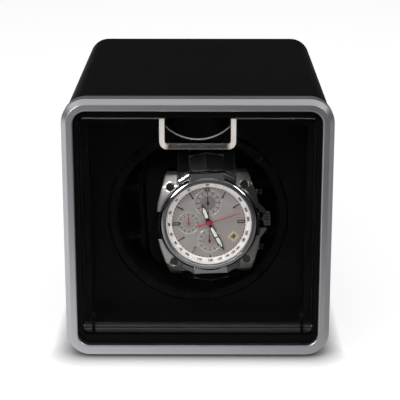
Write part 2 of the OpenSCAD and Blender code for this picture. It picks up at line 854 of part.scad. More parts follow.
module knob(pointer) {
    rod(board_set + board_t + 2, knob_set + 0.5, knob_shaft_r);
    facing(knob_set + knob_t) difference() {
        rotate_extrude() polygon([[0, 0.8], [knob_r - 2.2, 0.8], [knob_r - 1.6, 0],
            [knob_r - 0.8, 0], [knob_r, 0.8], [knob_r, knob_t], [0, knob_t]]);
        for (a = [0:20:340]) rotate([0, 0, a]) translate([knob_r + 0.45, 0, -1])
            cylinder(r = 0.8, h = knob_t);
        rotate([0, 0, pointer]) translate([-0.4, 1, 0]) cube([0.8, knob_r, 1.2]);
    }
}

module direction_knob() {
    color([0.13, 0.13, 0.13]) translate([-knob_gap / 2, 0, knob_up]) knob(0);
}

module turns_knob() {
    color([0.13, 0.13, 0.13]) translate([knob_gap / 2, 0, knob_up]) knob(0);
}

module dc_inlet() {
    color([0.07, 0.07, 0.07]) {
        difference() {
            union() {
                rod(cover_set - inlet_body, cover_set + cover_t, inlet_r, inlet_x, inlet_z);
                rod(cover_set + cover_t, cover_set + cover_t + 1, inlet_r + 1.2, inlet_x, inlet_z);
            }
            rod(cover_set - 6, cover_set + cover_t + 2, 2.8, inlet_x, inlet_z);
        }
        rod(cover_set - 6.5, cover_set + cover_t - 0.6, 1, inlet_x, inlet_z);
    }
}

// A lead that leaves a terminal at height z0, rises at depth d and is soldered to the board
module lead(x, z0, d_from, d, z1, d_to) {
    rod(min(d_from, d), max(d_from, d), lead_r, x, z0);
    translate([x, front + d, mid_z + z0]) cylinder(r = lead_r, h = z1 - z0);
    rod(min(d, d_to), max(d, d_to), lead_r, x, z1);
    for (z = [z0, z1]) translate([x, front + d, mid_z + z]) sphere(r = lead_r);
}

module motor_leads() {
    color([0.6, 0.1, 0.1]) for (sx = [-1, 1])
        lead(sx * terminal_x, motor_z + 0.3 + lead_r + fit, motor_back + 0.5, motor_back + 1.5,
            knob_up - board_h / 2 + 3, board_set + board_t + fit);
}

module supply_leads() {
    color([0.12, 0.12, 0.12]) for (sx = [-1, 1])
        lead(inlet_x + 2 * sx, inlet_z, cover_set - inlet_body - fit, board_set - 2.4,
            knob_up - board_h / 2 + 2.5, board_set - fit);
}

// Holder and cushion
module holder_frame() {
    color([0.1, 0.1, 0.11]) in_drum() difference() {
        union() {
            for (sx = [-1, 1]) translate([sx * (cheek_x + cheek_t / 2), 0, 0]) slab(cheek_set, holder_back)
                square([cheek_t, cheek_h], center = true);
            slab(holder_back - 2, holder_back) square([2 * cheek_x + 1, cheek_h], center = true);
        }
        for (sx = [-1, 1])
            translate([sx * (cheek_x + cheek_t / 2), front + (cheek_set + holder_back) / 2, mid_z])
                rotate([0, 90, 0]) cylinder(r = 9, h = cheek_t * 3, center = true);
        rod(holder_back - 3, holder_back + 1, 8);
    }
}

module cushion() {
    color([0.08, 0.08, 0.08]) in_drum()
        translate([-cushion_w / 2, front + cushion_set + cushion_d / 2, mid_z + watch_z])
            rotate([90, 0, 90]) linear_extrude(cushion_w) rounded(cushion_d, cushion_h, cushion_r);
}

// Watch frame: x right, y up, z out of the dial, with z = 0 on the dial's face
module watch() {
    in_drum() facing(dial_set, watch_x, watch_z) children();
}

module lathe_ring(points) {
    rotate_extrude() polygon(points);
}

// Side view of a lug: y, z
module lug_side() {
    polygon([
        [flank_y, lunette_low - 0.2], [lug_reach - 6.2, lunette_low - 0.2], [lug_reach - 1.8, -0.6],
        [lug_reach - 0.5, -1.7], [lug_reach, -3.2], [lug_reach, -6.6],
        [lug_reach - 2, -7.6], [lug_reach - 9, -6.4], [flank_y, -5.2]
    ]);
}

// Front view of a lug, whose outer flank runs down to the case: x, y
module lug_front() {
    tip = lug_x + lug_t;
    polygon([
        [lug_x, flank_y], [case_r - 0.6, flank_y], [case_r - 1.1, flank_y + 3.6],
        [case_r - 2.1, flank_y + 7], [tip + 1.5, lug_reach - 3.4], [tip + 0.8, lug_reach - 1.6],
        [tip - 0.4, lug_reach], [lug_x, lug_reach]
    ]);
}

// Front view of the case's shoulders between the lugs, grown by a gap
module shoulder_front(gap) {
    polygon([
        [-lug_x - gap, 0], [lug_x + gap, 0], [lug_x + gap, shoulder_y - 2.6 + gap],
        [shoulder_w, shoulder_y + gap], [-shoulder_w, shoulder_y + gap],
        [-lug_x - gap, shoulder_y - 2.6 + gap]
    ]);
}

module watch_case() {
    color([0.74, 0.75, 0.76]) watch() difference() {
        union() {
            lathe_ring([
                [0, -case_h + 1.8], [case_r - 2.4, -case_h + 1.8], [case_r - 0.6, -case_h + 3.2],
                [case_r, -2.6], [case_r - 0.4, 0.4], [case_r - 1.2, lunette_low], [0, lunette_low]
            ]);
            for (sx = [-1, 1], sy = [-1, 1]) scale_side(sx, sy) intersection() {
                rotate([90, 0, 90]) linear_extrude(case_r) lug_side();
                translate([0, 0, -case_h]) linear_extrude(case_h + lunette_low) lug_front();
            }
            for (turn = [0, 180]) rotate([0, 0, turn]) translate([0, 0, 2.2 - case_h])
                linear_extrude(case_h - 2.2 + lunette_low) shoulder_front(0);
            crown_guards();
        }
        translate([0, 0, -case_h]) cylinder(r = dial_r + 0.3, h = case_h + 5);
        for (y = pusher_y) translate([dial_r - 4, y, stem_z]) rotate([0, 90, 0]) {
            cylinder(r = stem_r + fit, h = 12);
            translate([0, 0, pusher_seat - dial_r + 4]) cylinder(r = pusher_r + 0.35, h = 12);
        }
        translate([dial_r - 1, crown_y, stem_z]) rotate([0, 90, 0]) cylinder(r = stem_r + fit, h = 12);
        lug_screw_places() translate([0, 0, -lug_screw_t]) cylinder(r = lug_screw_r + 0.25, h = 3);
    }
}

module lug_screw_places() {
    for (sx = [-1, 1], sy = [-1, 1])
        translate([sx * lug_screw_at[0], sy * lug_screw_at[1], lunette_low - 0.2]) children();
}

// Mirrored copy for a side, made with mirror so that the solids stay exact
module scale_side(sx, sy) {
    mirror([sx < 0 ? 1 : 0, 0, 0]) mirror([0, sy < 0 ? 1 : 0, 0]) children();
}

// Two fins that stand out of the flank beside the crown
module crown_guards() {
    near = crown_r + 0.5;
    for (sy = [0, 1]) mirror([0, sy, 0]) translate([0, 0, -5.4]) linear_extrude(4.8) polygon([
        [case_r - 3, near], [case_r + 2.1, near], [case_r + 2.1, near + 0.9],
        [case_r - 0.8, near + 4.6], [case_r - 3, near + 4.6]
    ]);
}

// Polished bezel: a rounded ring, with a tab to the bracelet at 12 and at 6
module watch_bezel() {
    in_r = dial_r + 0.35;
    round_r = 2.6;
    color([0.82, 0.82, 0.83]) watch() {
        rotate_extrude() intersection() {
            translate([in_r, lunette_low]) square([lunette_r - in_r, lunette_top - lunette_low]);
            translate([lunette_r - round_r, lunette_low - 0.5]) circle(r = round_r);
        }
        for (turn = [0, 180]) rotate([0, 0, turn]) bezel_tab();
    }
}

module bezel_tab() {
    difference() {
        translate([-shoulder_w, 0, 0]) rotate([90, 0, 90]) linear_extrude(2 * shoulder_w) polygon([
            [dial_r + 1.1, lunette_low], [shoulder_y, lunette_low], [shoulder_y, lunette_low + 0.5],
            [dial_r + 1.1, lunette_top - 0.3]
        ]);
        for (sx = [-1, 1]) translate([sx * (shoulder_w + 2), lunette_r - 0.6, 0]) cylinder(r = 2.6, h = 6);
    }
}

// A slightly domed glass: its top is a shallow parabola
module watch_crystal() {
    edge_r = dial_r + 0.25;
    steps = 8;
    dome = [for (i = [steps:-1:0])
        [edge_r * i / steps, crystal_edge + crystal_dome * (1 - pow(i / steps, 2))]];
    color([0.85, 0.9, 0.92, 0.3]) watch()
        lathe_ring(concat([[0, crystal_under], [edge_r, crystal_under]], dome));
}

module watch_dial() {
    color([0.78, 0.79, 0.81]) watch() difference() {
        translate([0, 0, -dial_t]) cylinder(r = dial_r + 0.1, h = dial_t);
        for (i = [0:2]) translate([sub_at[i][0], sub_at[i][1], 0]) {
            translate([0, 0, -sub_step]) cylinder(r = sub_r[i], h = 1);
            translate([0, 0, -1.8 * sub_step]) cylinder(r = 0.56 * sub_r[i], h = 1);
        }
        translate([date_at[0], date_at[1], 0]) rotate([0, 0, date_turn])
            cube([date_w, date_w, 4], center = true);
        translate([0, 0, -1]) cylinder(r = 0.5, h = 3);
        for (c = sub_at) translate([c[0], c[1], -1]) cylinder(r = 0.35, h = 3);
    }
}

module dial_ring() {
    color([0.93, 0.93, 0.92]) watch() lathe_ring([
        [ring_in_r, 0], [dial_r + 0.1, 0], [dial_r + 0.1, crystal_under - 0.1],
        [dial_r - 0.4, crystal_under - 0.1], [dial_r - 0.6, 0.5]
    ]);
}

// Applied markers: ridged batons with a foot, open bars at 3 and 9, twin bars at 12, a dart at 6
module dial_markers() {
    color([0.8, 0.8, 0.82]) watch() {
        for (h = [1, 2, 7, 8, 10, 11]) rotate([0, 0, -30 * h]) baton(3.1, 0.5);
        for (side = [0, 180]) rotate([0, 0, side - 90]) open_bar(3.2, 1.3);
        for (x = [-0.62, 0.62]) translate([x, 0, 0]) baton(1.5, 0.5);
        translate([0, 0.4 - ring_in_r, 0]) linear_extrude(0.3) polygon([[-0.5, 0], [0.5, 0], [0, 1]]);
        translate([date_at[0], date_at[1], 0]) rotate([0, 0, date_turn]) linear_extrude(0.3) difference() {
            square(date_w + 2 * date_frame, center = true);
            square(date_w, center = true);
        }
    }
}

module baton(length, width) {
    translate([0, ring_in_r - 0.3, 0]) rotate([90, 0, 0]) linear_extrude(length)
        polygon([[-width / 2, 0], [width / 2, 0], [width / 2, 0.15], [0, 0.4], [-width / 2, 0.15]]);
    translate([-width * 0.7, ring_in_r - 0.3 - length, 0]) cube([width * 1.4, width * 1.2, 0.3]);
}

module open_bar(length, width) {
    translate([0, ring_in_r - 0.3 - length / 2, 0]) linear_extrude(0.3) difference() {
        rounded(width, length, 0.4);
        rounded(width - 0.6, length - 0.6, 0.2);
    }
}

module watch_movement() {
    color([0.7, 0.66, 0.55]) watch() difference() {
        translate([0, 0, -case_h + 2]) cylinder(r = dial_r - 1.5, h = case_h - 2 - dial_t);
        translate([0, 0, -3]) cylinder(r = 0.5, h = 3);
        for (c = sub_at) translate([c[0], c[1], -3]) cylinder(r = 0.35, h = 3);
    }
}

module watch_back() {
    color([0.7, 0.71, 0.72]) watch() difference() {
        union() {
            translate([0, 0, -case_h]) cylinder(r = dial_r + 0.9, h = 1.8);
            translate([0, 0, -case_h + 1]) cylinder(r = dial_r + 0.2, h = 1);
        }
        for (a = [0:60:300]) rotate([0, 0, a]) translate([dial_r - 1, 0, -case_h - 1])
            cylinder(r = 1, h = 1.7);
    }
}

module lug_screws() {
    color([0.62, 0.63, 0.64]) watch() lug_screw_places() translate([0, 0, -lug_screw_t]) difference() {
        cylinder(r = lug_screw_r, h = lug_screw_t);
        for (a = [30, 120]) rotate([0, 0, a]) translate([-1, -0.2, lug_screw_t - 0.5]) cube([2, 0.4, 1]);
    }
}

// A hand that points along +y before it is turned, with a shallow bed for its lume
module hand(outline, low, thick, hub_r, turn_cw, beds = []) {
    rotate([0, 0, -turn_cw]) translate([0, 0, low]) difference() {
        linear_extrude(thick) union() {
            polygon(outline);
            circle(r = hub_r);
        }
        for (bed = beds) translate([0, 0, thick - 0.1]) linear_extrude(1) polygon(bed);
    }
}

// Half the width of a broad hand at a share of its length
function broad(width, share) =
    share < 0.3 ? width * (0.22 + 0.28 * share / 0.3)
    : share < 0.66 ? width / 2
    : width / 2 * (1 - share) / 0.34;
function broad_outline(length, width, tail) = concat(
    [[-width * 0.16, -tail], [width * 0.16, -tail]],
    [for (s = [0, 0.3, 0.66]) [broad(width, s), s * length]],
    [[0, length]],
    [for (s = [0.66, 0.3, 0]) [-broad(width, s), s * length]]
);
// The lume's bed between two shares of the length, inside a rim
function bed_outline(length, width, rim, from, to) =
    let (shares = [from, for (s = [0.3, 0.66]) if (s > from && s < to) s, to])
    concat(
        [for (s = shares) [broad(width, s) - rim, s * length]],
        [for (i = [len(shares) - 1:-1:0]) [rim - broad(width, shares[i]), shares[i] * length]]
    );
function needle(length, width, tail) = [
    [-width * 0.7, -tail], [width * 0.7, -tail], [width / 2, 0], [width / 3, length],
    [-width / 3, length], [-width / 2, 0]
];

module hour_hand() {
    color([0.85, 0.85, 0.86]) watch() difference() {
        hand(broad_outline(hour_length, hand_w, 1.8), 0.35, 0.25, 1.35, hour_turn,
            [bed_outline(hour_length, hand_w, lume_rim, 0.26, 0.8)]);
        cylinder(r = 0.75, h = 5, center = true);
    }
}

module minute_hand() {
    beds = [for (share = [[0.16, 0.48], [0.52, 0.83]])
        bed_outline(minute_length, hand_w, lume_rim, share[0], share[1])];
    color([0.85, 0.85, 0.86]) watch() difference() {
        union() {
            hand(broad_outline(minute_length, hand_w, 2.2), 0.75, 0.25, 1.2, minute_turn, beds);
            translate([0, 0, -1.6]) cylinder(r = 0.45, h = 2);
            translate([0, 0, 0.3]) cylinder(r = 0.65, h = 0.5);
        }
        cylinder(r = 0.25, h = 8, center = true);
    }
}

module sweep_hand() {
    tail = 4.3;
    color([0.75, 0.08, 0.1]) watch() {
        hand(needle(sweep_length, 0.42, tail), 1.15, 0.2, 1, sweep_turn);
        rotate([0, 0, -sweep_turn]) translate([-0.8, -tail - 0.3, 1.15]) cube([1.6, 0.5, 0.2]);
        translate([0, 0, -1.9]) cylinder(r = 0.2, h = 3.2);
    }
}

module counter_hand(place, length, turn_cw) {
    translate([place[0], place[1], 0]) {
        hand(needle(length, 0.5, 1), 0.05, 0.15, 0.55, turn_cw);
        translate([0, 0, -1.6]) cylinder(r = 0.3, h = 1.8);
    }
}

module small_seconds_hand() {
    color([0.75, 0.08, 0.1]) watch() counter_hand(sub_at[1], sub_r[1] * 0.62, seconds_turn);
}

module minute_counter_hand() {
    color([0.25, 0.25, 0.27]) watch() counter_hand(sub_at[0], sub_r[0] * 0.5, 0);
}

module hour_counter_hand() {
    color([0.25, 0.25, 0.27]) watch() counter_hand(sub_at[2], sub_r[2] * 0.6, 0);
}

module watch_crown() {
    color([0.8, 0.8, 0.82]) watch() translate([0, crown_y, stem_z]) rotate([0, 90, 0]) {
        difference() {
            translate([0, 0, crown_x]) rotate_extrude() polygon([
                [0, 0], [crown_r - 0.4, 0], [crown_r, 0.4], [crown_r, crown_len - 0.5],
                [crown_r - 0.5, crown_len], [0, crown_len]
            ]);
            for (a = [0:18:342]) rotate([0, 0, a]) translate([crown_r + 0.25, 0, crown_x - 1])
                cylinder(r = 0.45, h = crown_len + 2, $fn = 16);
        }
        translate([0, 0, dial_r + 0.4]) cylinder(r = stem_r, h = crown_x - dial_r);
    }
}

module pusher(y) {
    cap_x = pusher_seat + pusher_travel + seat_gap;
    stem_x = case_r - 6.5;
    translate([0, y, stem_z]) rotate([0, 90, 0]) {
        translate([0, 0, stem_x]) cylinder(r = stem_r, h = cap_x - stem_x + 0.4);
        translate([0, 0, cap_x]) rotate_extrude() polygon([
            [0, 0], [pusher_r, 0], [pusher_r, pusher_cap - 0.5], [pusher_r - 0.5, pusher_cap], [0, pusher_cap]
        ]);
    }
}

module start_pusher() {
    color([0.8, 0.8, 0.82]) watch() pusher(pusher_y[0]);
}

module reset_pusher() {
    color([0.8, 0.8, 0.82]) watch() pusher(pusher_y[1]);
}

// Bracelet. Distance s runs back from the top front of the loop; side = 1 is the upper half
function loop_turn(s) = s < straight_run ? 0 : min(90, (s - straight_run) / quarter * 90);
function loop_place(s) =
    let (a = loop_turn(s), after = max(0, s - straight_run - quarter))
    s < straight_run
        ? [run_start + s, run_z]
        : [run_back - turn_r + turn_r * sin(a), run_z - turn_r + turn_r * cos(a) - after];
function band_w(s) = lug_w - (lug_w - clasp_w) * s / half_loop;

// Children extruded along x, placed on the loop at distance s: their own x stands out of the band
// and their own y runs along it
module on_loop(s, side) {
    place = loop_place(s);
    mirror([0, side < 0 ? 1 : 0, 0]) translate([0, place[1], dial_set - place[0]])
        rotate([-loop_turn(s), 0, 0]) rotate([90, 0, 90]) children();
}

module link_side(length) {
    half = length / 2 - link_t / 2;
    difference() {
        union() {
            square([link_t, 2 * half], center = true);
            for (e = [-1, 1]) translate([0, e * half]) circle(r = link_t / 2);
        }
        for (e = [-1, 1]) translate([0, e * link_pitch / 4]) circle(r = pin_hole_r);
    }
}

module link(width) {
    translate([0, 0, -width / 2]) linear_extrude(width) link_side(link_pitch - link_gap);
}

// Section of a centre link across the bracelet: a shallow roof over a flat underside
module roof_section(width, under, edge) {
    polygon([
        [-under, -width / 2], [edge, -width / 2], [edge + ridge + 0.5, 0],
        [edge, width / 2], [-under, width / 2]
    ]);
}

module ridged_link(width) {
    half = (link_pitch - link_gap) / 2;
    edge = link_t / 2 - 0.5;
    top = link_t / 2 + ridge;
    intersection() {
        translate([0, 0, -width / 2]) linear_extrude(width) union() {
            link_side(2 * half);
            polygon([
                [edge - 0.3, -half], [edge, -half], [top, 1 - half],
                [top, half - 1], [edge, half], [edge - 0.3, half]
            ]);
        }
        translate([0, half + 1, 0]) rotate([90, 0, 0]) linear_extrude(2 * half + 2)
            roof_section(width, link_t, edge);
    }
}

module centre_links() {
    color([0.8, 0.8, 0.82]) watch() for (side = [-1, 1], i = [0:row_count - 1]) {
        s = (i + 0.5) * link_pitch;
        on_loop(s, side) ridged_link(band_w(s) - 2 * side_link_w - 0.4);
    }
}

module side_links() {
    color([0.68, 0.69, 0.7]) watch() for (side = [-1, 1], i = [1:row_count - 1], e = [-1, 1]) {
        s = i * link_pitch;
        on_loop(s, side) translate([0, 0, e * (band_w(s) - side_link_w) / 2]) link(side_link_w);
    }
}

module link_pins() {
    color([0.6, 0.6, 0.62]) watch() for (side = [-1, 1], i = [-1:2 * row_count - 2]) {
        s = (i / 2 + 0.75) * link_pitch;
        if (s < (row_count - 0.5) * link_pitch) on_loop(s, side)
            translate([0, 0, -band_w(s) / 2 + 0.6]) cylinder(r = link_pin_r, h = band_w(s) - 1.2, $fn = 24);
    }
}

// A ridged bar between two points (y, z) of the bracelet's outer face
module ridged_bar(from, to, width, under) {
    run = to - from;
    translate([0, from[0], from[1]]) rotate([atan2(run[1], run[0]), 0, 0]) translate([0, norm(run), 0])
        rotate([90, 0, 0]) linear_extrude(norm(run)) rotate([0, 0, 90]) roof_section(width, under, -0.5);
}

// Side view of an end link's arms, which carry the first pin: y, z
module arm_side(z0) {
    top = run_z + link_t / 2;
    low = run_z - link_t / 2;
    polygon([
        [shoulder_y - 2.4, -1.7], [shoulder_y - 0.2, -2], [shoulder_y + 2.2, -4.8], [top, -9.4],
        [top, z0 - link_pitch / 4], [low, z0 - link_pitch / 4], [low + 0.1, -9], [shoulder_y + 0.8, -7.2],
        [shoulder_y - 2.4, -6.6]
    ]);
    translate([run_z, z0 + link_t / 2 - (link_pitch - link_gap) / 2]) circle(r = link_t / 2);
}

module end_links() {
    z0 = dial_set - run_start;
    hood_w = 2 * (lug_w / 2 - side_link_w) - 0.4;
    crest = [run_z + link_t / 2, -7.2];
    color([0.68, 0.69, 0.7]) watch() for (side = [0, 1]) mirror([0, side, 0]) difference() {
        union() {
            ridged_bar([shoulder_y, -1.9], crest, hood_w, link_t - 0.4);
            ridged_bar(crest, [crest[0], z0 + link_gap / 2], hood_w, link_t);
            difference() {
                translate([0.1 - lug_w / 2, 0, 0]) rotate([90, 0, 90])
                    linear_extrude(lug_w - 0.2) arm_side(z0);
                translate([0.1 - hood_w / 2, 0, z0 - link_pitch]) cube([hood_w - 0.2, 40, 2 * link_pitch]);
                translate([-hood_w / 2 - 0.2, 0, z0 - link_pitch])
                    cube([hood_w + 0.4, 40, link_pitch + link_gap / 2]);
            }
        }
        translate([0, 0, -case_h]) linear_extrude(2 * case_h) shoulder_front(0.1);
        translate([0, 0, -case_h]) cylinder(r = case_r + 0.1, h = 2 * case_h);
        translate([-lug_w, run_z, z0 - link_pitch / 4]) rotate([0, 90, 0])
            cylinder(r = pin_hole_r, h = 2 * lug_w);
    }
}

module watch_clasp() {
    length = 2 * (half_loop - row_count * link_pitch) - link_gap;
    color([0.76, 0.77, 0.78]) watch() translate([-clasp_w / 2, 0, dial_set - run_back])
        rotate([90, 0, 90]) linear_extrude(clasp_w) rounded(length, link_t, 1);
}

housing();
bezel();
front_frame();
feet();
baffle_panel();
baffle_screws();
door();
door_pull();
drum();
drive_shaft();
drum_gear();
shaft_clip();
holder_frame();
cushion();
chassis_plate();
chassis_screws();
front_bushing();
rear_bushing();
motor_plate();
motor_plate_screws();
motor();
motor_screws();
motor_shaft();
pinion();
rear_cover();
cover_screws();
circuit_board();
board_parts();
selector_switches();
direction_knob();
turns_knob();
dc_inlet();
motor_leads();
supply_leads();
watch_case();
watch_bezel();
watch_crystal();
watch_dial();
dial_ring();
dial_markers();
watch_movement();
watch_back();
lug_screws();
hour_hand();
minute_hand();
sweep_hand();
small_seconds_hand();
minute_counter_hand();
hour_counter_hand();
watch_crown();
start_pusher();
reset_pusher();
end_links();
centre_links();
side_links();
link_pins();
watch_clasp();
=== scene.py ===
"""Looks of a watch winder box with one wrist watch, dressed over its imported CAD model."""

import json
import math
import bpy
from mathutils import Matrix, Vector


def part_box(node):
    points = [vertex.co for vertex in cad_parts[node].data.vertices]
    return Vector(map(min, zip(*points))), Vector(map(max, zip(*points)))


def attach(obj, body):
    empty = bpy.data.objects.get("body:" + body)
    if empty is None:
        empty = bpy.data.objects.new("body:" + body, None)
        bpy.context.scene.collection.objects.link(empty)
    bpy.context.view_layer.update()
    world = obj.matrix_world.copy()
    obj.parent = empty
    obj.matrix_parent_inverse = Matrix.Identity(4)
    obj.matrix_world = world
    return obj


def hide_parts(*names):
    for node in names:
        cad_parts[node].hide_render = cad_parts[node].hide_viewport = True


bl_info = {
    "name": "Watch winder box",
    "version": (1, 0, 0),
    "blender": (4, 5, 0),
    "location": "3D View > Sidebar > Winder",
    "description": "Finishes, printed dial, lume, wrist pillow and studio of a watch winder box",
    "category": "Object",
}

import bpy
import numpy as np
from mathutils import Vector

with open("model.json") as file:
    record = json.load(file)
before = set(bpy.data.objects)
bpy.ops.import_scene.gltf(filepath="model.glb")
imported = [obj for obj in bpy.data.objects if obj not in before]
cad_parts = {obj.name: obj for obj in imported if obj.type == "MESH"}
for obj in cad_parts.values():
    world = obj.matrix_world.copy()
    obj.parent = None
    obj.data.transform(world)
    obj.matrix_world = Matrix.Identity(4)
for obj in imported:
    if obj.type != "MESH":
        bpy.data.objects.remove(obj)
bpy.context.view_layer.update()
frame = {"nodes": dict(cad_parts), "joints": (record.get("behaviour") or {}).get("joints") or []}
NODES = frame["nodes"]
JOINTS = {joint["name"]: joint for joint in frame["joints"]}
MM = 0.001
FULL_TURN = 2 * math.pi
ORIGIN = (0, 0, 0)
ACROSS = (1, 0, 0)
UP = (0, 0, 1)


# ---------------------------------------------------------------- places taken from the frame

WATCH_RIGHT = Vector(JOINTS["crown_turn"]["axis"])
WATCH_OUT = Vector((0, -1, 0))
WATCH_UP = WATCH_OUT.cross(WATCH_RIGHT)
WATCH_MIDDLE = Vector(JOINTS["minute_hand_turn"]["pos_m"])
SECONDS_MIDDLE = Vector(JOINTS["small_seconds_turn"]["pos_m"])
MINUTES_MIDDLE = Vector(JOINTS["minute_counter_turn"]["pos_m"])
HOURS_MIDDLE = Vector(JOINTS["hour_counter_turn"]["pos_m"])
FRONT_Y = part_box("bezel")[0].y
MIDDLE_Z = Vector(JOINTS["drum_spin"]["pos_m"]).z


def mesh_points(mesh):
    """The vertices of a mesh, as an (n, 3) array."""
    points = np.zeros(len(mesh.vertices) * 3, np.float32)
    mesh.vertices.foreach_get("co", points)
    return points.reshape(-1, 3).astype(float)


def dial_coordinates(node):
    """A CAD node's vertices in the dial's frame, in mm: right, up and out of the dial."""
    points = (mesh_points(NODES[node].data) - np.array(WATCH_MIDDLE)) / MM
    axes = (WATCH_RIGHT, WATCH_UP, WATCH_OUT)
    return np.stack([points @ np.array(axis) for axis in axes], axis=1)


def on_dial(points, middle=WATCH_MIDDLE):
    """Points in the dial's frame, in mm, taken to the shared frame in metres: m + x r + y u + z o."""
    points = np.asarray(points, float)
    axes = np.array([WATCH_RIGHT, WATCH_UP, WATCH_OUT])
    return np.array(middle) + (points @ axes) * MM


def far_point(node):
    """Length in mm and clockwise angle of a middle hand's tip: the vertex farthest from its pivot."""
    points = dial_coordinates(node)
    reach = np.hypot(points[:, 0], points[:, 1])
    tip = points[np.argmax(reach)]
    return float(reach.max()), math.atan2(tip[0], tip[1])


# Radii and places on the dial, in mm. A counter is its middle and its radius.
DIAL_R = float(np.hypot(*dial_coordinates("watch_dial").T[:2]).max())
MINUTES = (MINUTES_MIDDLE, 0.32 * DIAL_R)
SECONDS = (SECONDS_MIDDLE, 0.253 * DIAL_R)
HOURS = (HOURS_MIDDLE, 0.275 * DIAL_R)
DATE_PLACE = (0.573 * DIAL_R, -0.371 * DIAL_R)
DATE_TURN = math.radians(42)


# ---------------------------------------------------------------- mesh makers

def mesh_object(name, verts, faces, smooth=True):
    """A new object at the origin with these vertices, in metres, and faces."""
    mesh = bpy.data.meshes.new(name)
    mesh.from_pydata(np.asarray(verts).tolist(), [], [list(face) for face in faces])
    mesh.polygons.foreach_set("use_smooth", [smooth] * len(mesh.polygons))
    mesh.update()
    thing = bpy.data.objects.new(name, mesh)
    bpy.context.scene.collection.objects.link(thing)
    return thing


def grid_faces(rows, columns):
    """Quads between the points of a grid, whose last column joins its first."""
    row, column = np.meshgrid(np.arange(rows - 1), np.arange(columns), indexing="ij")
    beside = (column + 1) % columns
    here, above = row * columns, (row + 1) * columns
    quads = np.stack([here + column, here + beside, above + beside, above + column], -1)
    return quads.reshape(-1, 4)


def join_solids(solids):
    """One list of vertices and faces from several (vertices, faces) pairs."""
    verts, faces, start = [], [], 0
    for points, polygons in solids:
        verts.append(points)
        faces += [[start + corner for corner in polygon] for polygon in polygons]
        start += len(points)
    return np.concatenate(verts), faces


def bars(angles, inner, outer, width, low, high):
    """Radial bars on a dial: box corners c + t e_r + s e_t, with r from inner to outer, s within half
    a width, and z from low to high, turned clockwise by each angle from 12 o'clock."""
    solids = []
    half = width / 2
    for angle in angles:
        out = np.array([math.sin(angle), math.cos(angle), 0])
        side = np.array([math.cos(angle), -math.sin(angle), 0])
        corners = [
            out * radius + side * offset + np.array([0, 0, height])
            for height in (low, high)
            for radius, offset in ((inner, -half), (inner, half), (outer, half), (outer, -half))
        ]
        walls = [[i, 4 + i, 4 + (i + 1) % 4, (i + 1) % 4] for i in range(4)]
        solids.append((np.array(corners), [[0, 1, 2, 3], [7, 6, 5, 4]] + walls))
    return join_solids(solids)


def round_ring(radius, width, rise):
    """A half-round wire ring: the arc r = radius + w cos t, z = rise sin t, with t from 0 to half a
    turn, carried round the dial's axis and closed underneath."""
    arc, steps = 9, 120
    t = np.linspace(0, math.pi, arc)
    angle = np.linspace(0, 2 * math.pi, steps, endpoint=False)
    r = (radius + width * np.cos(t))[:, None]
    z = np.repeat((rise * np.sin(t))[:, None], steps, 1)
    points = np.stack([r * np.sin(angle), r * np.cos(angle), z], -1).reshape(-1, 3)
    quads = grid_faces(arc + 1, steps) % (arc * steps)
    return points, quads.tolist()


def plate(outline, low, high):
    """A flat plate: an outline in mm, given anticlockwise, carried from low to high."""
    outline = np.asarray(outline, float)
    count = len(outline)
    points = np.concatenate([np.c_[outline, np.full(count, height)] for height in (low, high)])
    bottom = list(range(count - 1, -1, -1))
    top = list(range(count, 2 * count))
    walls = [[i, (i + 1) % count, count + (i + 1) % count, count + i] for i in range(count)]
    return points, [bottom, top] + walls


def turned(points, angle):
    """Dial points turned clockwise by an angle about the dial's axis."""
    x, y, z = np.asarray(points, float).T
    c, s = math.cos(angle), math.sin(angle)
    return np.stack([x * c + y * s, y * c - x * s, z], 1)


def numeral(text, size, low, high):
    """Plain figures as a thin solid, centred on the dial frame's origin, in mm."""
    curve = bpy.data.curves.new("figures", "FONT")
    curve.body = text
    curve.size = size
    curve.offset = 0.03 * size
    curve.extrude = (high - low) / 2
    curve.resolution_u = 2
    curve.align_x = "CENTER"
    curve.align_y = "CENTER"
    thing = bpy.data.objects.new("figures", curve)
    bpy.context.scene.collection.objects.link(thing)
    bpy.context.view_layer.update()
    depsgraph = bpy.context.evaluated_depsgraph_get()
    mesh = bpy.data.meshes.new_from_object(thing.evaluated_get(depsgraph))
    points = mesh_points(mesh)
    points[:, 2] += (low + high) / 2
    faces = [list(polygon.vertices) for polygon in mesh.polygons]
    bpy.data.objects.remove(thing)
    bpy.data.curves.remove(curve)
    bpy.data.meshes.remove(mesh)
    return points, faces


def ring_numeral(text, size, angle, radius, low, high, foot_inward=True):
    """Figures set on a circle, with their feet towards the middle or away from it."""
    points, faces = numeral(text, size, low, high)
    if not foot_inward:
        points = turned(points, math.pi)
    points[:, 1] += radius
    return turned(points, angle), faces


# ---------------------------------------------------------------- materials

def set_range(node, start, stop, low, high):
    """Sets a Map Range node to go from low to high while its value goes from start to stop."""
    for key, value in zip(("From Min", "From Max", "To Min", "To Max"), (start, stop, low, high)):
        node.inputs[key].default_value = value


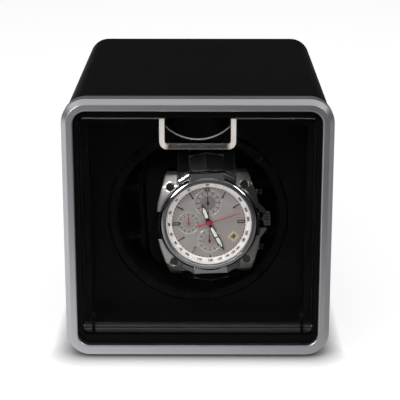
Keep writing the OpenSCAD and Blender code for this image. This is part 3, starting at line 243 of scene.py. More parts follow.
class Finish:
    """A node material with one Principled shader, whose helpers add pattern to it."""

    def __init__(self, name, colour, rough, metal=0.0, specular=0.5):
        self.material = bpy.data.materials.new(name)
        self.material.use_nodes = True
        self.tree = self.material.node_tree
        self.shader = self.tree.nodes["Principled BSDF"]
        self.shader.inputs["Base Color"].default_value = (*colour, 1)
        self.shader.inputs["Roughness"].default_value = rough
        self.shader.inputs["Metallic"].default_value = metal
        self.shader.inputs["Specular IOR Level"].default_value = specular
        self.colour = colour
        self.rough = rough
        self.last_normal = None
        coordinates = self.node("ShaderNodeTexCoord")
        self.place = coordinates.outputs["Object"]
        self.normal = coordinates.outputs["Normal"]

    def node(self, kind, **values):
        made = self.tree.nodes.new(kind)
        for key, value in values.items():
            setattr(made, key, value)
        return made

    def link(self, source, target):
        self.tree.links.new(source, target)

    def math(self, operation, first, second=None):
        """A sum between sockets or fixed numbers."""
        made = self.node("ShaderNodeMath", operation=operation)
        for socket, value in zip(made.inputs, (first, second)):
            if value is None:
                continue
            if isinstance(value, (int, float)):
                socket.default_value = value
            else:
                self.link(value, socket)
        return made.outputs[0]

    def noise(self, scale, detail, rough, stretch=(1, 1, 1), source=None):
        """Noise over the object's own coordinates, closer along an axis whose stretch is over 1, or
        over another source."""
        made = self.node("ShaderNodeTexNoise")
        made.inputs["Scale"].default_value = scale
        made.inputs["Detail"].default_value = detail
        made.inputs["Roughness"].default_value = rough
        if source is None:
            mapping = self.node("ShaderNodeMapping")
            mapping.inputs["Scale"].default_value = stretch
            self.link(self.place, mapping.inputs["Vector"])
            source = mapping.outputs[0]
        self.link(source, made.inputs["Vector"])
        return made.outputs["Fac"]

    def spread(self, source, low, high):
        """A 0 to 1 value mapped to the range from low to high."""
        return self.ramp(source, 0, 1, low, high, "LINEAR")

    def ramp(self, source, start, stop, low=0.0, high=1.0, kind="SMOOTHSTEP"):
        """A value that goes from low to high while the source goes from start to stop."""
        made = self.node("ShaderNodeMapRange", interpolation_type=kind)
        set_range(made, start, stop, low, high)
        self.link(source, made.inputs["Value"])
        return made.outputs["Result"]

    def vector(self, operation, first, second):
        """A vector operation between a socket and fixed numbers."""
        made = self.node("ShaderNodeVectorMath", operation=operation)
        self.link(first, made.inputs[0])
        made.inputs[1].default_value = second
        is_number = operation in ("DOT_PRODUCT", "DISTANCE")
        return made.outputs["Value" if is_number else "Vector"]

    def sideways(self, axis):
        """0 where the surface faces along an axis of the object, and 1 where it faces across it."""
        facing = self.math("ABSOLUTE", self.vector("DOT_PRODUCT", self.normal, axis))
        return self.ramp(facing, 0.35, 0.8, 1, 0)

    def away(self, middle, axis):
        """The distance from a point along an axis, on either side of it."""
        offset = self.vector("SUBTRACT", self.place, middle)
        return self.math("ABSOLUTE", self.vector("DOT_PRODUCT", offset, axis))

    def shade(self, amount):
        """Multiplies the colour so far by a socket's value."""
        colour = self.shader.inputs["Base Color"]
        made = self.node("ShaderNodeVectorMath", operation="SCALE")
        self.link(colour.links[0].from_socket, made.inputs[0])
        self.link(amount, made.inputs["Scale"])
        self.link(made.outputs["Vector"], colour)
        return self

    def rounded_normal(self, radius):
        """The normal as it would be with every edge rounded to a radius."""
        made = self.node("ShaderNodeBevel", samples=6)
        made.inputs["Radius"].default_value = radius
        return made.outputs["Normal"]

    def soft_edges(self, radius):
        """Rounds the edges in the shading only, so that they catch light as broken edges do. A bump
        that follows takes the rounded normal up."""
        self.last_normal = self.rounded_normal(radius)
        return self

    def bright_edges(self, radius, lift):
        """Painted edge highlights: lifts the colour where the rounded normal leaves the true one."""
        flat = self.node("ShaderNodeNewGeometry")
        likeness = self.node("ShaderNodeVectorMath", operation="DOT_PRODUCT")
        self.link(self.rounded_normal(radius), likeness.inputs[0])
        self.link(flat.outputs["True Normal"], likeness.inputs[1])
        return self.shade(self.ramp(likeness.outputs["Value"], 0.8, 0.98, lift, 1.0))

    def mix_shaders(self, share, first, second):
        """Shows the first shader where the share is 0, and the second where it is 1."""
        mix = self.node("ShaderNodeMixShader")
        self.link(share, mix.inputs["Fac"])
        self.link(first.outputs[0], mix.inputs[1])
        self.link(second.outputs[0], mix.inputs[2])
        self.link(mix.outputs[0], self.tree.nodes["Material Output"].inputs["Surface"])
        return self

    def opened(self, cover):
        """Lets the view and the lamps through wherever the cover is under 1."""
        return self.mix_shaders(cover, self.node("ShaderNodeBsdfTransparent"), self.shader)

    def mix_colours(self, source, first, second):
        """The colour moves from the first to the second as the source goes 0 to 1."""
        made = self.node("ShaderNodeMix", data_type="RGBA")
        made.inputs["A"].default_value = (*first, 1)
        made.inputs["B"].default_value = (*second, 1)
        self.link(source, made.inputs["Factor"])
        self.link(made.outputs["Result"], self.shader.inputs["Base Color"])
        return self

    def vary_colour(self, source, darker, lighter):
        """The colour moves between shares darker and lighter of itself as the source goes 0 to 1."""
        dark = [channel * darker for channel in self.colour]
        light = [min(1, channel * lighter) for channel in self.colour]
        return self.mix_colours(source, dark, light)

    def vary_rough(self, source, change):
        """The roughness moves by a change to either side of its own value as the source goes 0 to 1."""
        rough = self.spread(source, self.rough - change, self.rough + change)
        self.link(rough, self.shader.inputs["Roughness"])
        return self

    def bump(self, source, strength, distance):
        """Adds the source as a height, on top of the bumps and rounded edges so far."""
        made = self.node("ShaderNodeBump")
        made.inputs["Strength"].default_value = strength
        made.inputs["Distance"].default_value = distance
        self.link(source, made.inputs["Height"])
        if self.last_normal is not None:
            self.link(self.last_normal, made.inputs["Normal"])
        self.last_normal = made.outputs["Normal"]
        self.link(self.last_normal, self.shader.inputs["Normal"])
        return self

    def brushed_round(self, middle, axis, amount):
        """Anisotropic gloss with its grain along circles round a point: the tangent is the axis
        crossed with the way from the middle."""
        across = self.vector("CROSS_PRODUCT", self.vector("SUBTRACT", self.place, middle), axis)
        to_world = self.node("ShaderNodeVectorTransform", vector_type="VECTOR", convert_from="OBJECT",
                             convert_to="WORLD")
        self.link(across, to_world.inputs[0])
        unit = self.node("ShaderNodeVectorMath", operation="NORMALIZE")
        self.link(to_world.outputs[0], unit.inputs[0])
        self.link(unit.outputs[0], self.shader.inputs["Tangent"])
        self.shader.inputs["Anisotropic"].default_value = amount
        return self

    def angle_round(self, middle):
        """The angle round a point in the dial's plane, in radians, from the object's x axis to its z."""
        parts = self.node("ShaderNodeSeparateXYZ")
        self.link(self.vector("SUBTRACT", self.place, middle), parts.inputs[0])
        return self.math("ARCTAN2", parts.outputs["Z"], parts.outputs["X"])


def moulded_black(name, colour, rough, specular, grain=2600, depth=0.02):
    """Black injection-moulded plastic with a fine spark-eroded grain and a faint cloud in its sheen."""
    finish = Finish(name, colour, rough, specular=specular)
    finish.vary_colour(finish.noise(18, 4, 0.6), 0.82, 1.25)
    finish.vary_rough(finish.noise(40, 5, 0.65), 0.06)
    finish.bump(finish.noise(grain, 2, 0.6), 0.12, depth * MM)
    return finish


def metal(name, colour, rough, stretch=(1, 1, 1), scale=900, strength=0.05, change=0.05, edge=0.0):
    """Metal with a grain: noise, drawn out where it is brushed, moves its gloss and its bump. An edge
    over 0 is the radius in mm to which its edges are rounded in the shading."""
    finish = Finish(name, colour, rough, metal=1.0)
    if edge:
        finish.soft_edges(edge * MM)
    grain = finish.noise(scale, 3, 0.6, stretch)
    finish.vary_rough(grain, change)
    finish.vary_colour(finish.noise(60, 3, 0.5), 0.94, 1.05)
    finish.bump(grain, strength, 0.02 * MM)
    return finish


def case_steel(colour):
    """The case: satin where it faces the glass's way, polished on its flanks and on the two shoulders
    beside the bezel at 12 and 6 o'clock. Its lugs fall away from a crest right of the middle, as a
    height of -k (x x + c c) in the bump, where c is a share of the climb above the middle and k is the
    steepness per metre. Painted shade darkens the colour on the side with the crown, less in the lower
    half, and on the lower shoulder."""
    satin_rough, polished_rough, deepest_painted_shade = 0.3, 0.1, 0.3
    climb_share, steepness = 0.92, 10.0
    finish = metal("case_steel", colour, 0.27, (1, 1, 14), 700, 0.06, edge=0.9)

    crest = WATCH_MIDDLE + WATCH_RIGHT * 5 * MM
    offset = finish.vector("SUBTRACT", finish.place, crest)
    aside = finish.vector("DOT_PRODUCT", offset, WATCH_RIGHT)
    above = finish.vector("DOT_PRODUCT", offset, WATCH_UP)
    climb = finish.math("MULTIPLY", finish.math("MAXIMUM", above, 0.0), climb_share)
    fall = finish.math("ADD", finish.math("MULTIPLY", aside, aside), finish.math("MULTIPLY", climb, climb))
    finish.bump(finish.math("MULTIPLY", fall, -1.0), 1.0, steepness)

    # Painted shade: the colour is darkened on the side with the crown, less so in the lower half.
    painted_crown_side_shade = finish.ramp(aside, 3.0 * MM, 12.0 * MM)
    upper_half = finish.ramp(above, -10.0 * MM, 5.0 * MM, 0.35, 1.0)
    dark = finish.math("MULTIPLY", painted_crown_side_shade, upper_half)
    finish.shade(finish.spread(dark, 1.0, deepest_painted_shade))

    flank = finish.sideways(WATCH_OUT)
    between_lugs = finish.ramp(finish.away(WATCH_MIDDLE, WATCH_RIGHT), 12.0 * MM, 12.2 * MM, 1, 0)
    beyond_bezel = finish.ramp(finish.away(WATCH_MIDDLE, WATCH_UP), 15 * MM, 16 * MM)
    shoulder = finish.math("MULTIPLY", between_lugs, beyond_bezel)
    polished = finish.math("MAXIMUM", flank, shoulder)
    # Painted shade: the lower shoulder's colour is darkened.
    lower = finish.math("MULTIPLY", shoulder, finish.ramp(above, -16 * MM, -15 * MM, 1, 0))
    finish.shade(finish.spread(lower, 1.0, deepest_painted_shade))
    finish.link(finish.spread(polished, satin_rough, polished_rough), finish.shader.inputs["Roughness"])
    return finish


def satin_silver(colour):
    """The bezel's bead-blasted silver: fine blast marks, soft clouds and edges rounded to 0.5 mm in the
    shading."""
    finish = Finish("satin_silver", colour, 0.36, metal=1.0).soft_edges(0.5 * MM)
    finish.vary_rough(finish.noise(70, 5, 0.6), 0.05)
    finish.vary_colour(finish.noise(26, 4, 0.55), 0.95, 1.04)
    finish.bump(finish.noise(5200, 2, 0.7), 0.18, 0.01 * MM)
    return finish


def clear_sheet(name, shine, edge, box=None):
    """Clear plastic or glass: open where it is faced squarely, mirroring more at a glance by Fresnel's
    law times a shine, and with painted highlights in pale colour along its edges, most where they face
    up. A door's box adds painted highlight lines along its top and sides, and a painted highlight band
    across its hinge bar."""
    sheet_ior = 1.49
    finish = Finish(name, (0.8, 0.8, 0.8), 0.06)
    finish.vary_rough(finish.noise(60, 3, 0.5), 0.02)
    glance = finish.node("ShaderNodeFresnel")
    glance.inputs["IOR"].default_value = sheet_ior
    # Blender turns the normal of a face seen from behind, so its sign is turned back here.
    sign = finish.ramp(finish.node("ShaderNodeNewGeometry").outputs["Backfacing"], 0, 1, 1, -1)
    rise = finish.math("MULTIPLY", finish.vector("DOT_PRODUCT", finish.normal, UP), sign)
    # Painted highlight: pale colour on edges that face sideways, more where they face up.
    painted_light_from_above = finish.ramp(rise, -0.2, 0.6, 0.25, 1)
    painted_edge_light = finish.math("MULTIPLY", finish.sideways(WATCH_OUT), painted_light_from_above)
    mirror = finish.math("MULTIPLY", glance.outputs[0], shine)
    if box:
        low, high = box
        inner, outer = 0.7 * MM, 0.3 * MM
        # Painted highlight lines along the door's top and sides.
        top = finish.ramp(finish.away((0, 0, high.z), UP), outer, inner, 0.55, 0)
        sides = finish.ramp(finish.away(ORIGIN, ACROSS), high.x - inner, high.x - outer, 0, 0.12)
        painted_edge_light = finish.math("MAXIMUM", painted_edge_light, finish.math("MAXIMUM", top, sides))
        # Painted highlight: a band of stronger mirroring across the hinge bar.
        hinge_bar = finish.away((0, 0, low.z + 2.2 * MM), UP)
        painted_hinge_highlight = finish.ramp(hinge_bar, 0.2 * MM, 2.0 * MM, 0.1, 0)
        mirror = finish.math("MAXIMUM", mirror, painted_hinge_highlight)
    finish.link(finish.math("SUBTRACT", 1.0, painted_edge_light), finish.shader.inputs["Metallic"])
    return finish.opened(finish.math("MAXIMUM", mirror, finish.math("MULTIPLY", painted_edge_light, edge)))


def pull_acrylic(colour):
    """The pull's pressed acrylic with painted light: whitened on its two legs as if lit, less on its rims,
    and clear along its bar.
    """
    bar_end, leg_middle = 11.5 * MM, 13.8 * MM
    bar_cover, painted_leg_light, painted_rim_light = 0.035, 0.7, 0.16
    finish = Finish("pull_acrylic", colour, 0.24)
    finish.vary_colour(finish.noise(260, 5, 0.65, (1, 1, 0.35)), 0.72, 1.12)
    finish.bump(finish.noise(900, 3, 0.55), 0.2, 0.02 * MM)
    # Painted light: the legs and rims are whitened as lit acrylic would look.
    leg = finish.ramp(finish.away(ORIGIN, ACROSS), bar_end, leg_middle, bar_cover, painted_leg_light)
    rim = finish.ramp(finish.sideways(WATCH_OUT), 0, 1, 0, painted_rim_light)
    return finish.opened(finish.math("MAXIMUM", leg, rim))


def sunburst(colour):
    """The dial's silver sunburst: hair-fine rays that leave the middle, in metal lacquer, as noise over
    the sine and cosine of the angle. The counters are a little brighter, with turned circles and a
    darker middle."""
    circle_pitch = 0.16 * MM
    finish = Finish("sunburst_silver", colour, 0.33, metal=0.68)
    angle = finish.angle_round(WATCH_MIDDLE)
    wave = finish.node("ShaderNodeCombineXYZ")
    finish.link(finish.math("SINE", angle), wave.inputs["X"])
    finish.link(finish.math("COSINE", angle), wave.inputs["Y"])
    rays = finish.noise(60, 6, 0.75, source=wave.outputs[0])
    finish.vary_colour(rays, 0.86, 1.12)
    finish.vary_rough(rays, 0.03)
    for (middle, radius), floor in ((MINUTES, 0.6), (SECONDS, 0.85), (HOURS, 0.85)):
        distance = finish.vector("DISTANCE", finish.place, middle)
        edge = 0.56 * radius * MM
        finish.shade(finish.ramp(distance, edge, edge + 0.1 * MM, floor, 1.0))
        finish.shade(finish.ramp(distance, radius * MM, (radius + 0.08) * MM, 1.12, 1.0))
        circles = finish.math("SINE", finish.math("MULTIPLY", distance, FULL_TURN / circle_pitch))
        inside = finish.ramp(distance, radius * MM, (radius + 0.1) * MM, 1, 0)
        finish.bump(finish.math("MULTIPLY", circles, inside), 0.25, 0.01 * MM)
    finish.brushed_round(WATCH_MIDDLE, WATCH_OUT, 0.72)
    return finish


def pillow_velour(colour):
    """The wrist pillow's black velour-soft cover: short nap, mottled and slightly sheened."""
    finish = Finish("pillow_velour", colour, 0.85, specular=0.02)
    nap = finish.noise(2400, 4, 0.7)
    finish.vary_colour(finish.noise(160, 5, 0.6), 0.7, 1.5)
    finish.vary_rough(nap, 0.1)
    finish.shader.inputs["Sheen Weight"].default_value = 0.012
    finish.shader.inputs["Sheen Roughness"].default_value = 0.4
    finish.bump(nap, 0.4, 0.05 * MM)
    return finish


def marker_polish():
    """Polished batons whose colour is darkened as painted shade, and gilt on the frame round the date."""
    # Painted shade: the batons' polished steel is given a dark colour.
    dark, gold = (0.3, 0.29, 0.28), (0.85, 0.66, 0.38)
    finish = metal("marker_polish", dark, 0.1, change=0.02, edge=0.08)
    date = on_dial([(*DATE_PLACE, 0)])[0]
    gilt = finish.ramp(finish.vector("DISTANCE", finish.place, date), 2.6 * MM, 2.8 * MM, 1, 0)
    finish.mix_colours(gilt, dark, gold)
    finish.link(finish.spread(gilt, 1.0, 0.4), finish.shader.inputs["Metallic"])
    return finish


def paint(name, colour, rough):
    """Printed ink, lume or lacquer: nearly one colour, with the faint fleck of a hand-pad print."""
    finish = Finish(name, colour, rough, specular=0.4)
    finish.vary_colour(finish.noise(900, 3, 0.6), 0.93, 1.05)
    finish.vary_rough(finish.noise(1500, 2, 0.5), 0.04)
    finish.bump(finish.noise(3200, 2, 0.5), 0.05, 0.004 * MM)
    return finish


def wear(node, finish):
    """Puts one finish on every slot of a CAD node."""
    materials = NODES[node].data.materials
    if not materials:
        materials.append(finish.material)
    for slot in NODES[node].material_slots:
        slot.link = "OBJECT"
        slot.material = finish.material


def wear_all(pairs):
    """Puts finishes on CAD nodes, whose names stand in one text with spaces between them."""
    for names, finish in pairs:
        for name in names.split():
            wear(name, finish)


def add_piece(name, solids, finish, body, middle=WATCH_MIDDLE):
    """A new piece on the dial from several solids in the dial's frame, on its body."""
    verts, faces = join_solids(solids)
    piece = mesh_object(name, on_dial(verts, middle), faces, smooth=False)
    piece.data.materials.append(finish.material)
    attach(piece, body)


# ---------------------------------------------------------------- properties

def colour_prop(name, description, default):
    """A colour of a finish, in linear light."""
    return bpy.props.FloatVectorProperty(
        name=name, description=description, default=default, subtype="COLOR", size=3, min=0, max=1)


def length_prop(name, description, default, low=0.0):
    """A length in metres, up to 10."""
    return bpy.props.FloatProperty(
        name=name, description=description, default=default, min=low, max=10, unit="LENGTH")


class WinderFinishes(bpy.types.PropertyGroup):
    """Colours of the winder box."""

    housing: colour_prop("Housing", "Satin black of the housing", (0.0024, 0.002, 0.0021))
    interior: colour_prop("Interior", "Black of the front frame, baffle and drum", (0.002, 0.002, 0.0023))
    bezel: colour_prop("Bezel", "Satin silver of the bezel", (0.62, 0.605, 0.64))
    pillow: colour_prop("Pillow", "Black of the wrist pillow", (0.0022, 0.0022, 0.0025))


class WatchFinishes(bpy.types.PropertyGroup):
    """Colours of the wrist watch."""

    steel: colour_prop("Steel", "Stainless steel of the case", (0.95, 0.925, 0.91))
    dial: colour_prop("Dial", "Silver of the dial", (0.64, 0.59, 0.57))
    ring: colour_prop("Ring", "White of the scale ring", (0.8, 0.76, 0.74))
    ink: colour_prop("Ink", "Black of the printing", (0.015, 0.015, 0.017))
    red: colour_prop("Red", "Red of the sweep hand and minute track", (0.38, 0.018, 0.032))
    lume: colour_prop("Lume", "Pale fill of the hands", (0.62, 0.62, 0.59))


class PillowSizes(bpy.types.PropertyGroup):
    """Sizes of the wrist pillow's padding."""

    voxel: length_prop("Voxel", "Mesh size of the cloth simulation", 1.8 * MM)
    shrink: length_prop("Start inset", "How much smaller the cover starts than its solid", 1.2 * MM)
    most_move: length_prop("Largest swell", "How far the simulation may move a point", 1.6 * MM)


class StageView(bpy.types.PropertyGroup):
    """Place, turn and lens of the camera."""

    distance: length_prop("Camera distance", "From the bezel's face to the camera", 0.5385)
    side: length_prop("Camera side", "Sideways place of the camera", 0.0039, -1)
    height: length_prop("Camera height", "Height of the camera over the floor", 0.2312)
    pitch: bpy.props.FloatProperty(
        name="Pitch", description="Downward tilt of the camera", default=0.2919, subtype="ANGLE")
    yaw: bpy.props.FloatProperty(
        name="Yaw", description="Turn of the camera to the right", default=-0.0055, subtype="ANGLE")
    focal: bpy.props.FloatProperty(
        name="Focal length", description="Lens in mm on a 36 mm sensor", default=124.6, min=20,
        unit="CAMERA")


# ---------------------------------------------------------------- the winder box

class WINDER_OT_box(bpy.types.Operator):
    """Finishes the housing, bezel, front frame, baffle and feet"""

    bl_idname = "winder.box"
    bl_label = "Box"

    def execute(self, context):
        colours = context.scene.winder_finishes
        interior = moulded_black("interior_black", colours.interior, 0.3, 0.05, 3400, 0.01)
        wear_all([
            ("housing", moulded_black("housing_black", colours.housing, 0.42, 0.015)),
            ("bezel", satin_silver(colours.bezel)),
            ("front_frame baffle_panel", interior),
            ("rear_cover", moulded_black("cover_black", (0.006, 0.006, 0.0062), 0.5, 0.2)),
            ("feet", moulded_black("foot_rubber", (0.02, 0.02, 0.021), 0.7, 0.3, 1400, 0.05)),
        ])
        return {"FINISHED"}


class WINDER_OT_door(bpy.types.Operator):
    """Finishes the clear door and its finger pull"""

    bl_idname = "winder.door"
    bl_label = "Door"

    def execute(self, context):
        wear_all([
            ("door", clear_sheet("clear_acrylic", 0.05, 0.4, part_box("door"))),
            ("door_pull", pull_acrylic((0.58, 0.54, 0.5))),
        ])
        return {"FINISHED"}


class WINDER_OT_drum(bpy.types.Operator):
    """Finishes the drum, its holder and the drive behind it"""

    bl_idname = "winder.drum"
    bl_label = "Drum and drive"

    def execute(self, context):
        colours = context.scene.winder_finishes
        steel = metal("machine_steel", (0.55, 0.55, 0.56), 0.3)
        wear_all([
            ("drum holder_frame", moulded_black("drum_black", colours.interior, 0.28, 0.05, 3000, 0.01)),
            ("drive_shaft motor_shaft", metal("ground_steel", (0.62, 0.62, 0.63), 0.18)),
            ("shaft_clip baffle_screws chassis_screws motor_plate_screws motor_screws", steel),
            ("drum_gear pinion", paint("nylon", (0.8, 0.79, 0.74), 0.4)),
            ("front_bushing rear_bushing", metal("sintered_bronze", (0.5, 0.32, 0.15), 0.42)),
            ("chassis_plate", moulded_black("chassis_black", (0.02, 0.02, 0.021), 0.5, 0.4)),
            ("motor_plate", metal("zinc_plate", (0.55, 0.56, 0.57), 0.4)),
            ("motor", metal("motor_can", (0.6, 0.6, 0.62), 0.28)),
            ("motor_leads", paint("lead_red", (0.35, 0.02, 0.02), 0.4)),
        ])
        return {"FINISHED"}


class WINDER_OT_rear(bpy.types.Operator):
    """Finishes the rear cover's controls, the inlet and the circuit board"""

    bl_idname = "winder.rear"
    bl_label = "Rear"

    def execute(self, context):
        wear_all([
            ("cover_screws", metal("black_screw", (0.08, 0.08, 0.085), 0.35)),
            ("circuit_board", paint("board_green", (0.02, 0.12, 0.05), 0.4)),
            ("board_parts", moulded_black("component_black", (0.02, 0.02, 0.02), 0.5, 0.4)),
            ("selector_switches", metal("switch_can", (0.5, 0.5, 0.51), 0.35)),
            ("direction_knob turns_knob", moulded_black("knob_black", (0.012, 0.012, 0.012), 0.4, 0.4)),
            ("dc_inlet", moulded_black("inlet_black", (0.01, 0.01, 0.01), 0.35, 0.4)),
            ("supply_leads", paint("lead_black", (0.012, 0.012, 0.012), 0.4)),
        ])
        return {"FINISHED"}


# ---------------------------------------------------------------- the wrist watch

class WINDER_OT_watch(bpy.types.Operator):
    """Finishes the watch's case, glass, dial, hands and bracelet"""

    bl_idname = "winder.watch"
    bl_label = "Watch"

    def execute(self, context):
        colours = context.scene.winder_watch
        # Painted shade: darkened satin steel, link steel and screw brass, with painted edge highlights.
        satin = metal("satin_steel_painted_shade", (0.2, 0.2, 0.2), 0.3, (1, 1, 14), 700, 0.02)
        satin.bright_edges(0.7 * MM, 5.0)
        polished = metal("polished_steel", (0.72, 0.72, 0.73), 0.09, change=0.02, strength=0.01, edge=0.15)
        link = Finish("link_steel_painted_shade", (0.035, 0.035, 0.038), 0.22, metal=1.0)
        link.vary_colour(link.noise(300, 3, 0.5), 0.9, 1.1).bright_edges(0.7 * MM, 27.0)
        wear_all([
            ("watch_case", case_steel(colours.steel)),
            ("end_links side_links watch_clasp watch_back", satin),
            ("watch_bezel", polished),
            ("centre_links link_pins watch_crown start_pusher reset_pusher", link),
            ("lug_screws", metal("screw_brass_painted_shade", (0.1, 0.085, 0.065), 0.2).bright_edges(0.3 * MM, 8.0)),
            ("watch_movement", metal("plated_brass", (0.5, 0.45, 0.34), 0.3)),
            ("watch_crystal", clear_sheet("watch_glass", 0.25, 0.2)),
            ("watch_dial", sunburst(colours.dial)),
            ("dial_ring", paint("ring_white", colours.ring, 0.4)),
            ("dial_markers", marker_polish()),
            ("hour_hand minute_hand minute_counter_hand", paint("hand_black", colours.ink, 0.25)),
            ("hour_counter_hand", paint("hand_dark_red", (0.16, 0.01, 0.015), 0.3)),
            ("sweep_hand small_seconds_hand", paint("hand_red", colours.red, 0.3)),
        ])
        return {"FINISHED"}


# Heights over the dial, and the print's own thickness, in mm
RING_TOP = 0.5
COUNTER_FLOOR = -0.12
DATE_FLOOR = -0.36
PLATE_TOP = -0.3
INK = 0.02
SPEEDS = (60, 65, 70, 75, 80, 85, 90, 95, 100, 110, 120, 130, 140, 150, 160, 180, 200, 250, 300, 400)


class WINDER_OT_print(bpy.types.Operator):
    """Prints the dial: speed scale, minute track, date and the counters' scales"""

    bl_idname = "winder.print"
    bl_label = "Dial print"

    def execute(self, context):
        colours = context.scene.winder_watch
        black = paint("ink_black", colours.ink, 0.35)
        red = paint("ink_red", colours.red, 0.35)
        self.speed_scale(black)
        track = bars(FULL_TURN * np.arange(60) / 60, 14.95, 15.3, 0.5, 0, INK)
        add_piece("minute_track", [track], red, "drum")
        self.counter("minutes", MINUTES, [(12, 0.62, 0.9, 0.34), (60, 0.82, 0.92, 0.12)], black)
        self.counter("seconds", SECONDS, [(12, 0.66, 0.92, 0.3), (60, 0.84, 0.92, 0.1)], black)
        self.counter("hours", HOURS, [(12, 0.7, 0.94, 0.3)], black)
        self.counter("hours_red", HOURS, [(4, 0.5, 0.66, 0.3)], red)
        self.rims()
        self.date(black, paint("date_plate", (0.36, 0.35, 0.31), 0.5))
        return {"FINISHED"}

    def speed_scale(self, ink):
        """The speed scale on the ring: a speed stands at 60 divided by it, as a share of a full turn.
        The figures of the lower half have their feet outwards."""
        top = RING_TOP + INK
        solids = []
        for speed in SPEEDS:
            share = 60 / speed
            upright = not 0.25 < share < 0.75
            solids.append(ring_numeral(str(speed), 1.35, FULL_TURN * share, 16.55, RING_TOP, top, upright))
        solids.append(bars(np.radians(np.arange(22, 128, 1.6)), 15.75, 16.0, 0.09, RING_TOP, top))
        add_piece("ring_figures", solids, ink, "drum")

    def counter(self, name, place, rows, ink):
        """Bars round a counter: a row is a number of bars, the shares of the radius where they start
        and stop, and their width."""
        middle, radius = place
        low = COUNTER_FLOOR
        solids = [
            bars(FULL_TURN * np.arange(count) / count, inner * radius, outer * radius, width, low, low + INK)
            for count, inner, outer, width in rows
        ]
        add_piece(name + "_scale", solids, ink, "drum", middle)

    def rims(self):
        """A polished wire round each counter."""
        solids = []
        for middle, radius in (MINUTES, SECONDS, HOURS):
            points, faces = round_ring(radius, 0.22, 0.12)
            solids.append((on_dial(points, middle), faces))
        verts, faces = join_solids(solids)
        piece = mesh_object("counter_rims", verts, faces)
        polish = Finish("rim_polish", (0.8, 0.78, 0.76), 0.12, metal=0.62)
        polish.vary_rough(polish.noise(900, 3, 0.5), 0.03)
        piece.data.materials.append(polish.material)
        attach(piece, "drum")

    def date(self, ink, pale):
        """A pale plate in the date's window with one plain figure, turned as the window is."""
        half = 1.24
        square = [(-half, -half), (half, -half), (half, half), (-half, half)]
        for name, (points, faces), finish, slot in (
            ("date_plate", plate(square, DATE_FLOOR, PLATE_TOP), pale, "dial_ring"),
            ("date_figure", numeral("8", 2.5, PLATE_TOP, PLATE_TOP + INK), ink, "counter_hands"),
        ):
            points = turned(points, DATE_TURN) + np.array([*DATE_PLACE, 0])
            add_piece(name, [(points, faces)], finish, "drum")


def lume_outline(length, start, stop):
    """Part of a broad hand between two shares s of its length, inside its rim: the half width grows
    in a line to s = 0.3, stays level to s = 0.66, and then falls in a line to the tip."""
    width, rim = 2.1, 0.36
    widening, narrowing = 0.3, 0.66
    shares = np.unique(np.clip([start, widening, narrowing, stop], start, stop))
    half = np.interp(shares, [0, widening, narrowing, 1], [0.22 * width, 0.5 * width, 0.5 * width, 0]) - rim
    right = np.c_[half, shares * length]
    return np.concatenate([right, right[::-1] * [-1, 1]])


class WINDER_OT_lume(bpy.types.Operator):
    """Fills the hour and minute hands with pale lume"""

    bl_idname = "winder.lume"
    bl_label = "Lume"

    def execute(self, context):
        sunk, proud = 0.09, 0.03
        lume = paint("lume", context.scene.winder_watch.lume, 0.55)
        for name, node, parts in (
            ("hour_lume", "hour_hand", [(0.26, 0.8)]),
            ("minute_lume", "minute_hand", [(0.16, 0.48), (0.52, 0.83)]),
        ):
            length, angle = far_point(node)
            top = float(dial_coordinates(node)[:, 2].max())
            solids = []
            for start, stop in parts:
                points, faces = plate(lume_outline(length, start, stop), top - sunk, top + proud)
                solids.append((turned(points, angle), faces))
            add_piece(name, solids, lume, node)
        return {"FINISHED"}


# ---------------------------------------------------------------- the wrist pillow

def pillow_shell(half):
    """A crowned pillow: a rounded rectangle |y|^q + |z|^q = 1 in depth and height, shrunk towards both
    ends by s(t) = (1 - |t|^p)^(1/p), where t runs from -1 to 1 across the pillow."""
    rows, columns = 40, 96
    end_power, corner_power = 7, 7.5
    t = np.sin(np.linspace(-math.pi / 2, math.pi / 2, rows + 2)[1:-1])
    scale = (1 - np.abs(t) ** end_power) ** (1 / end_power)
    angle = np.linspace(0, 2 * math.pi, columns, endpoint=False)
    c, s = np.cos(angle), np.sin(angle)
    radius = (np.abs(c) ** corner_power + np.abs(s) ** corner_power) ** (-1 / corner_power)
    y = half[1] * radius * c
    z = half[2] * radius * s
    x = np.repeat((t * half[0])[:, None], columns, 1)
    points = np.stack([x, scale[:, None] * y, scale[:, None] * z], -1).reshape(-1, 3)
    ends = np.array([[-half[0], 0, 0], [half[0], 0, 0]])
    faces = grid_faces(rows, columns).tolist()
    low, high = rows * columns, rows * columns + 1
    last = (rows - 1) * columns
    faces += [[low, (j + 1) % columns, j] for j in range(columns)]
    faces += [[high, last + j, last + (j + 1) % columns] for j in range(columns)]
    return np.concatenate([points, ends]), faces


def swell(piece, voxel, most_move):
    """Blows the cover up with a cloth simulation of 20 frames, and caps how far each point may move."""
    last_frame = 20
    bpy.context.view_layer.objects.active = piece
    piece.select_set(True)
    remesh = piece.modifiers.new("remesh", "REMESH")
    remesh.mode = "VOXEL"
    remesh.voxel_size = voxel
    bpy.ops.object.modifier_apply(modifier=remesh.name)
    rest = mesh_points(piece.data)
    cloth = piece.modifiers.new("cloth", "CLOTH")
    cloth.settings.use_pressure = True
    cloth.settings.uniform_pressure_force = 4
    cloth.settings.effector_weights.gravity = 0
    cloth.settings.quality = 4
    cloth.collision_settings.use_collision = False
    for number in range(1, last_frame + 1):
        bpy.context.scene.frame_set(number)
    bpy.ops.object.modifier_apply(modifier=cloth.name)
    bpy.context.scene.frame_set(1)
    move = mesh_points(piece.data) - rest
    length = np.linalg.norm(move, axis=1, keepdims=True)
    move *= np.minimum(1, most_move / np.maximum(length, 1e-9))
    piece.data.vertices.foreach_set("co", (rest + move).ravel())
    piece.data.update()


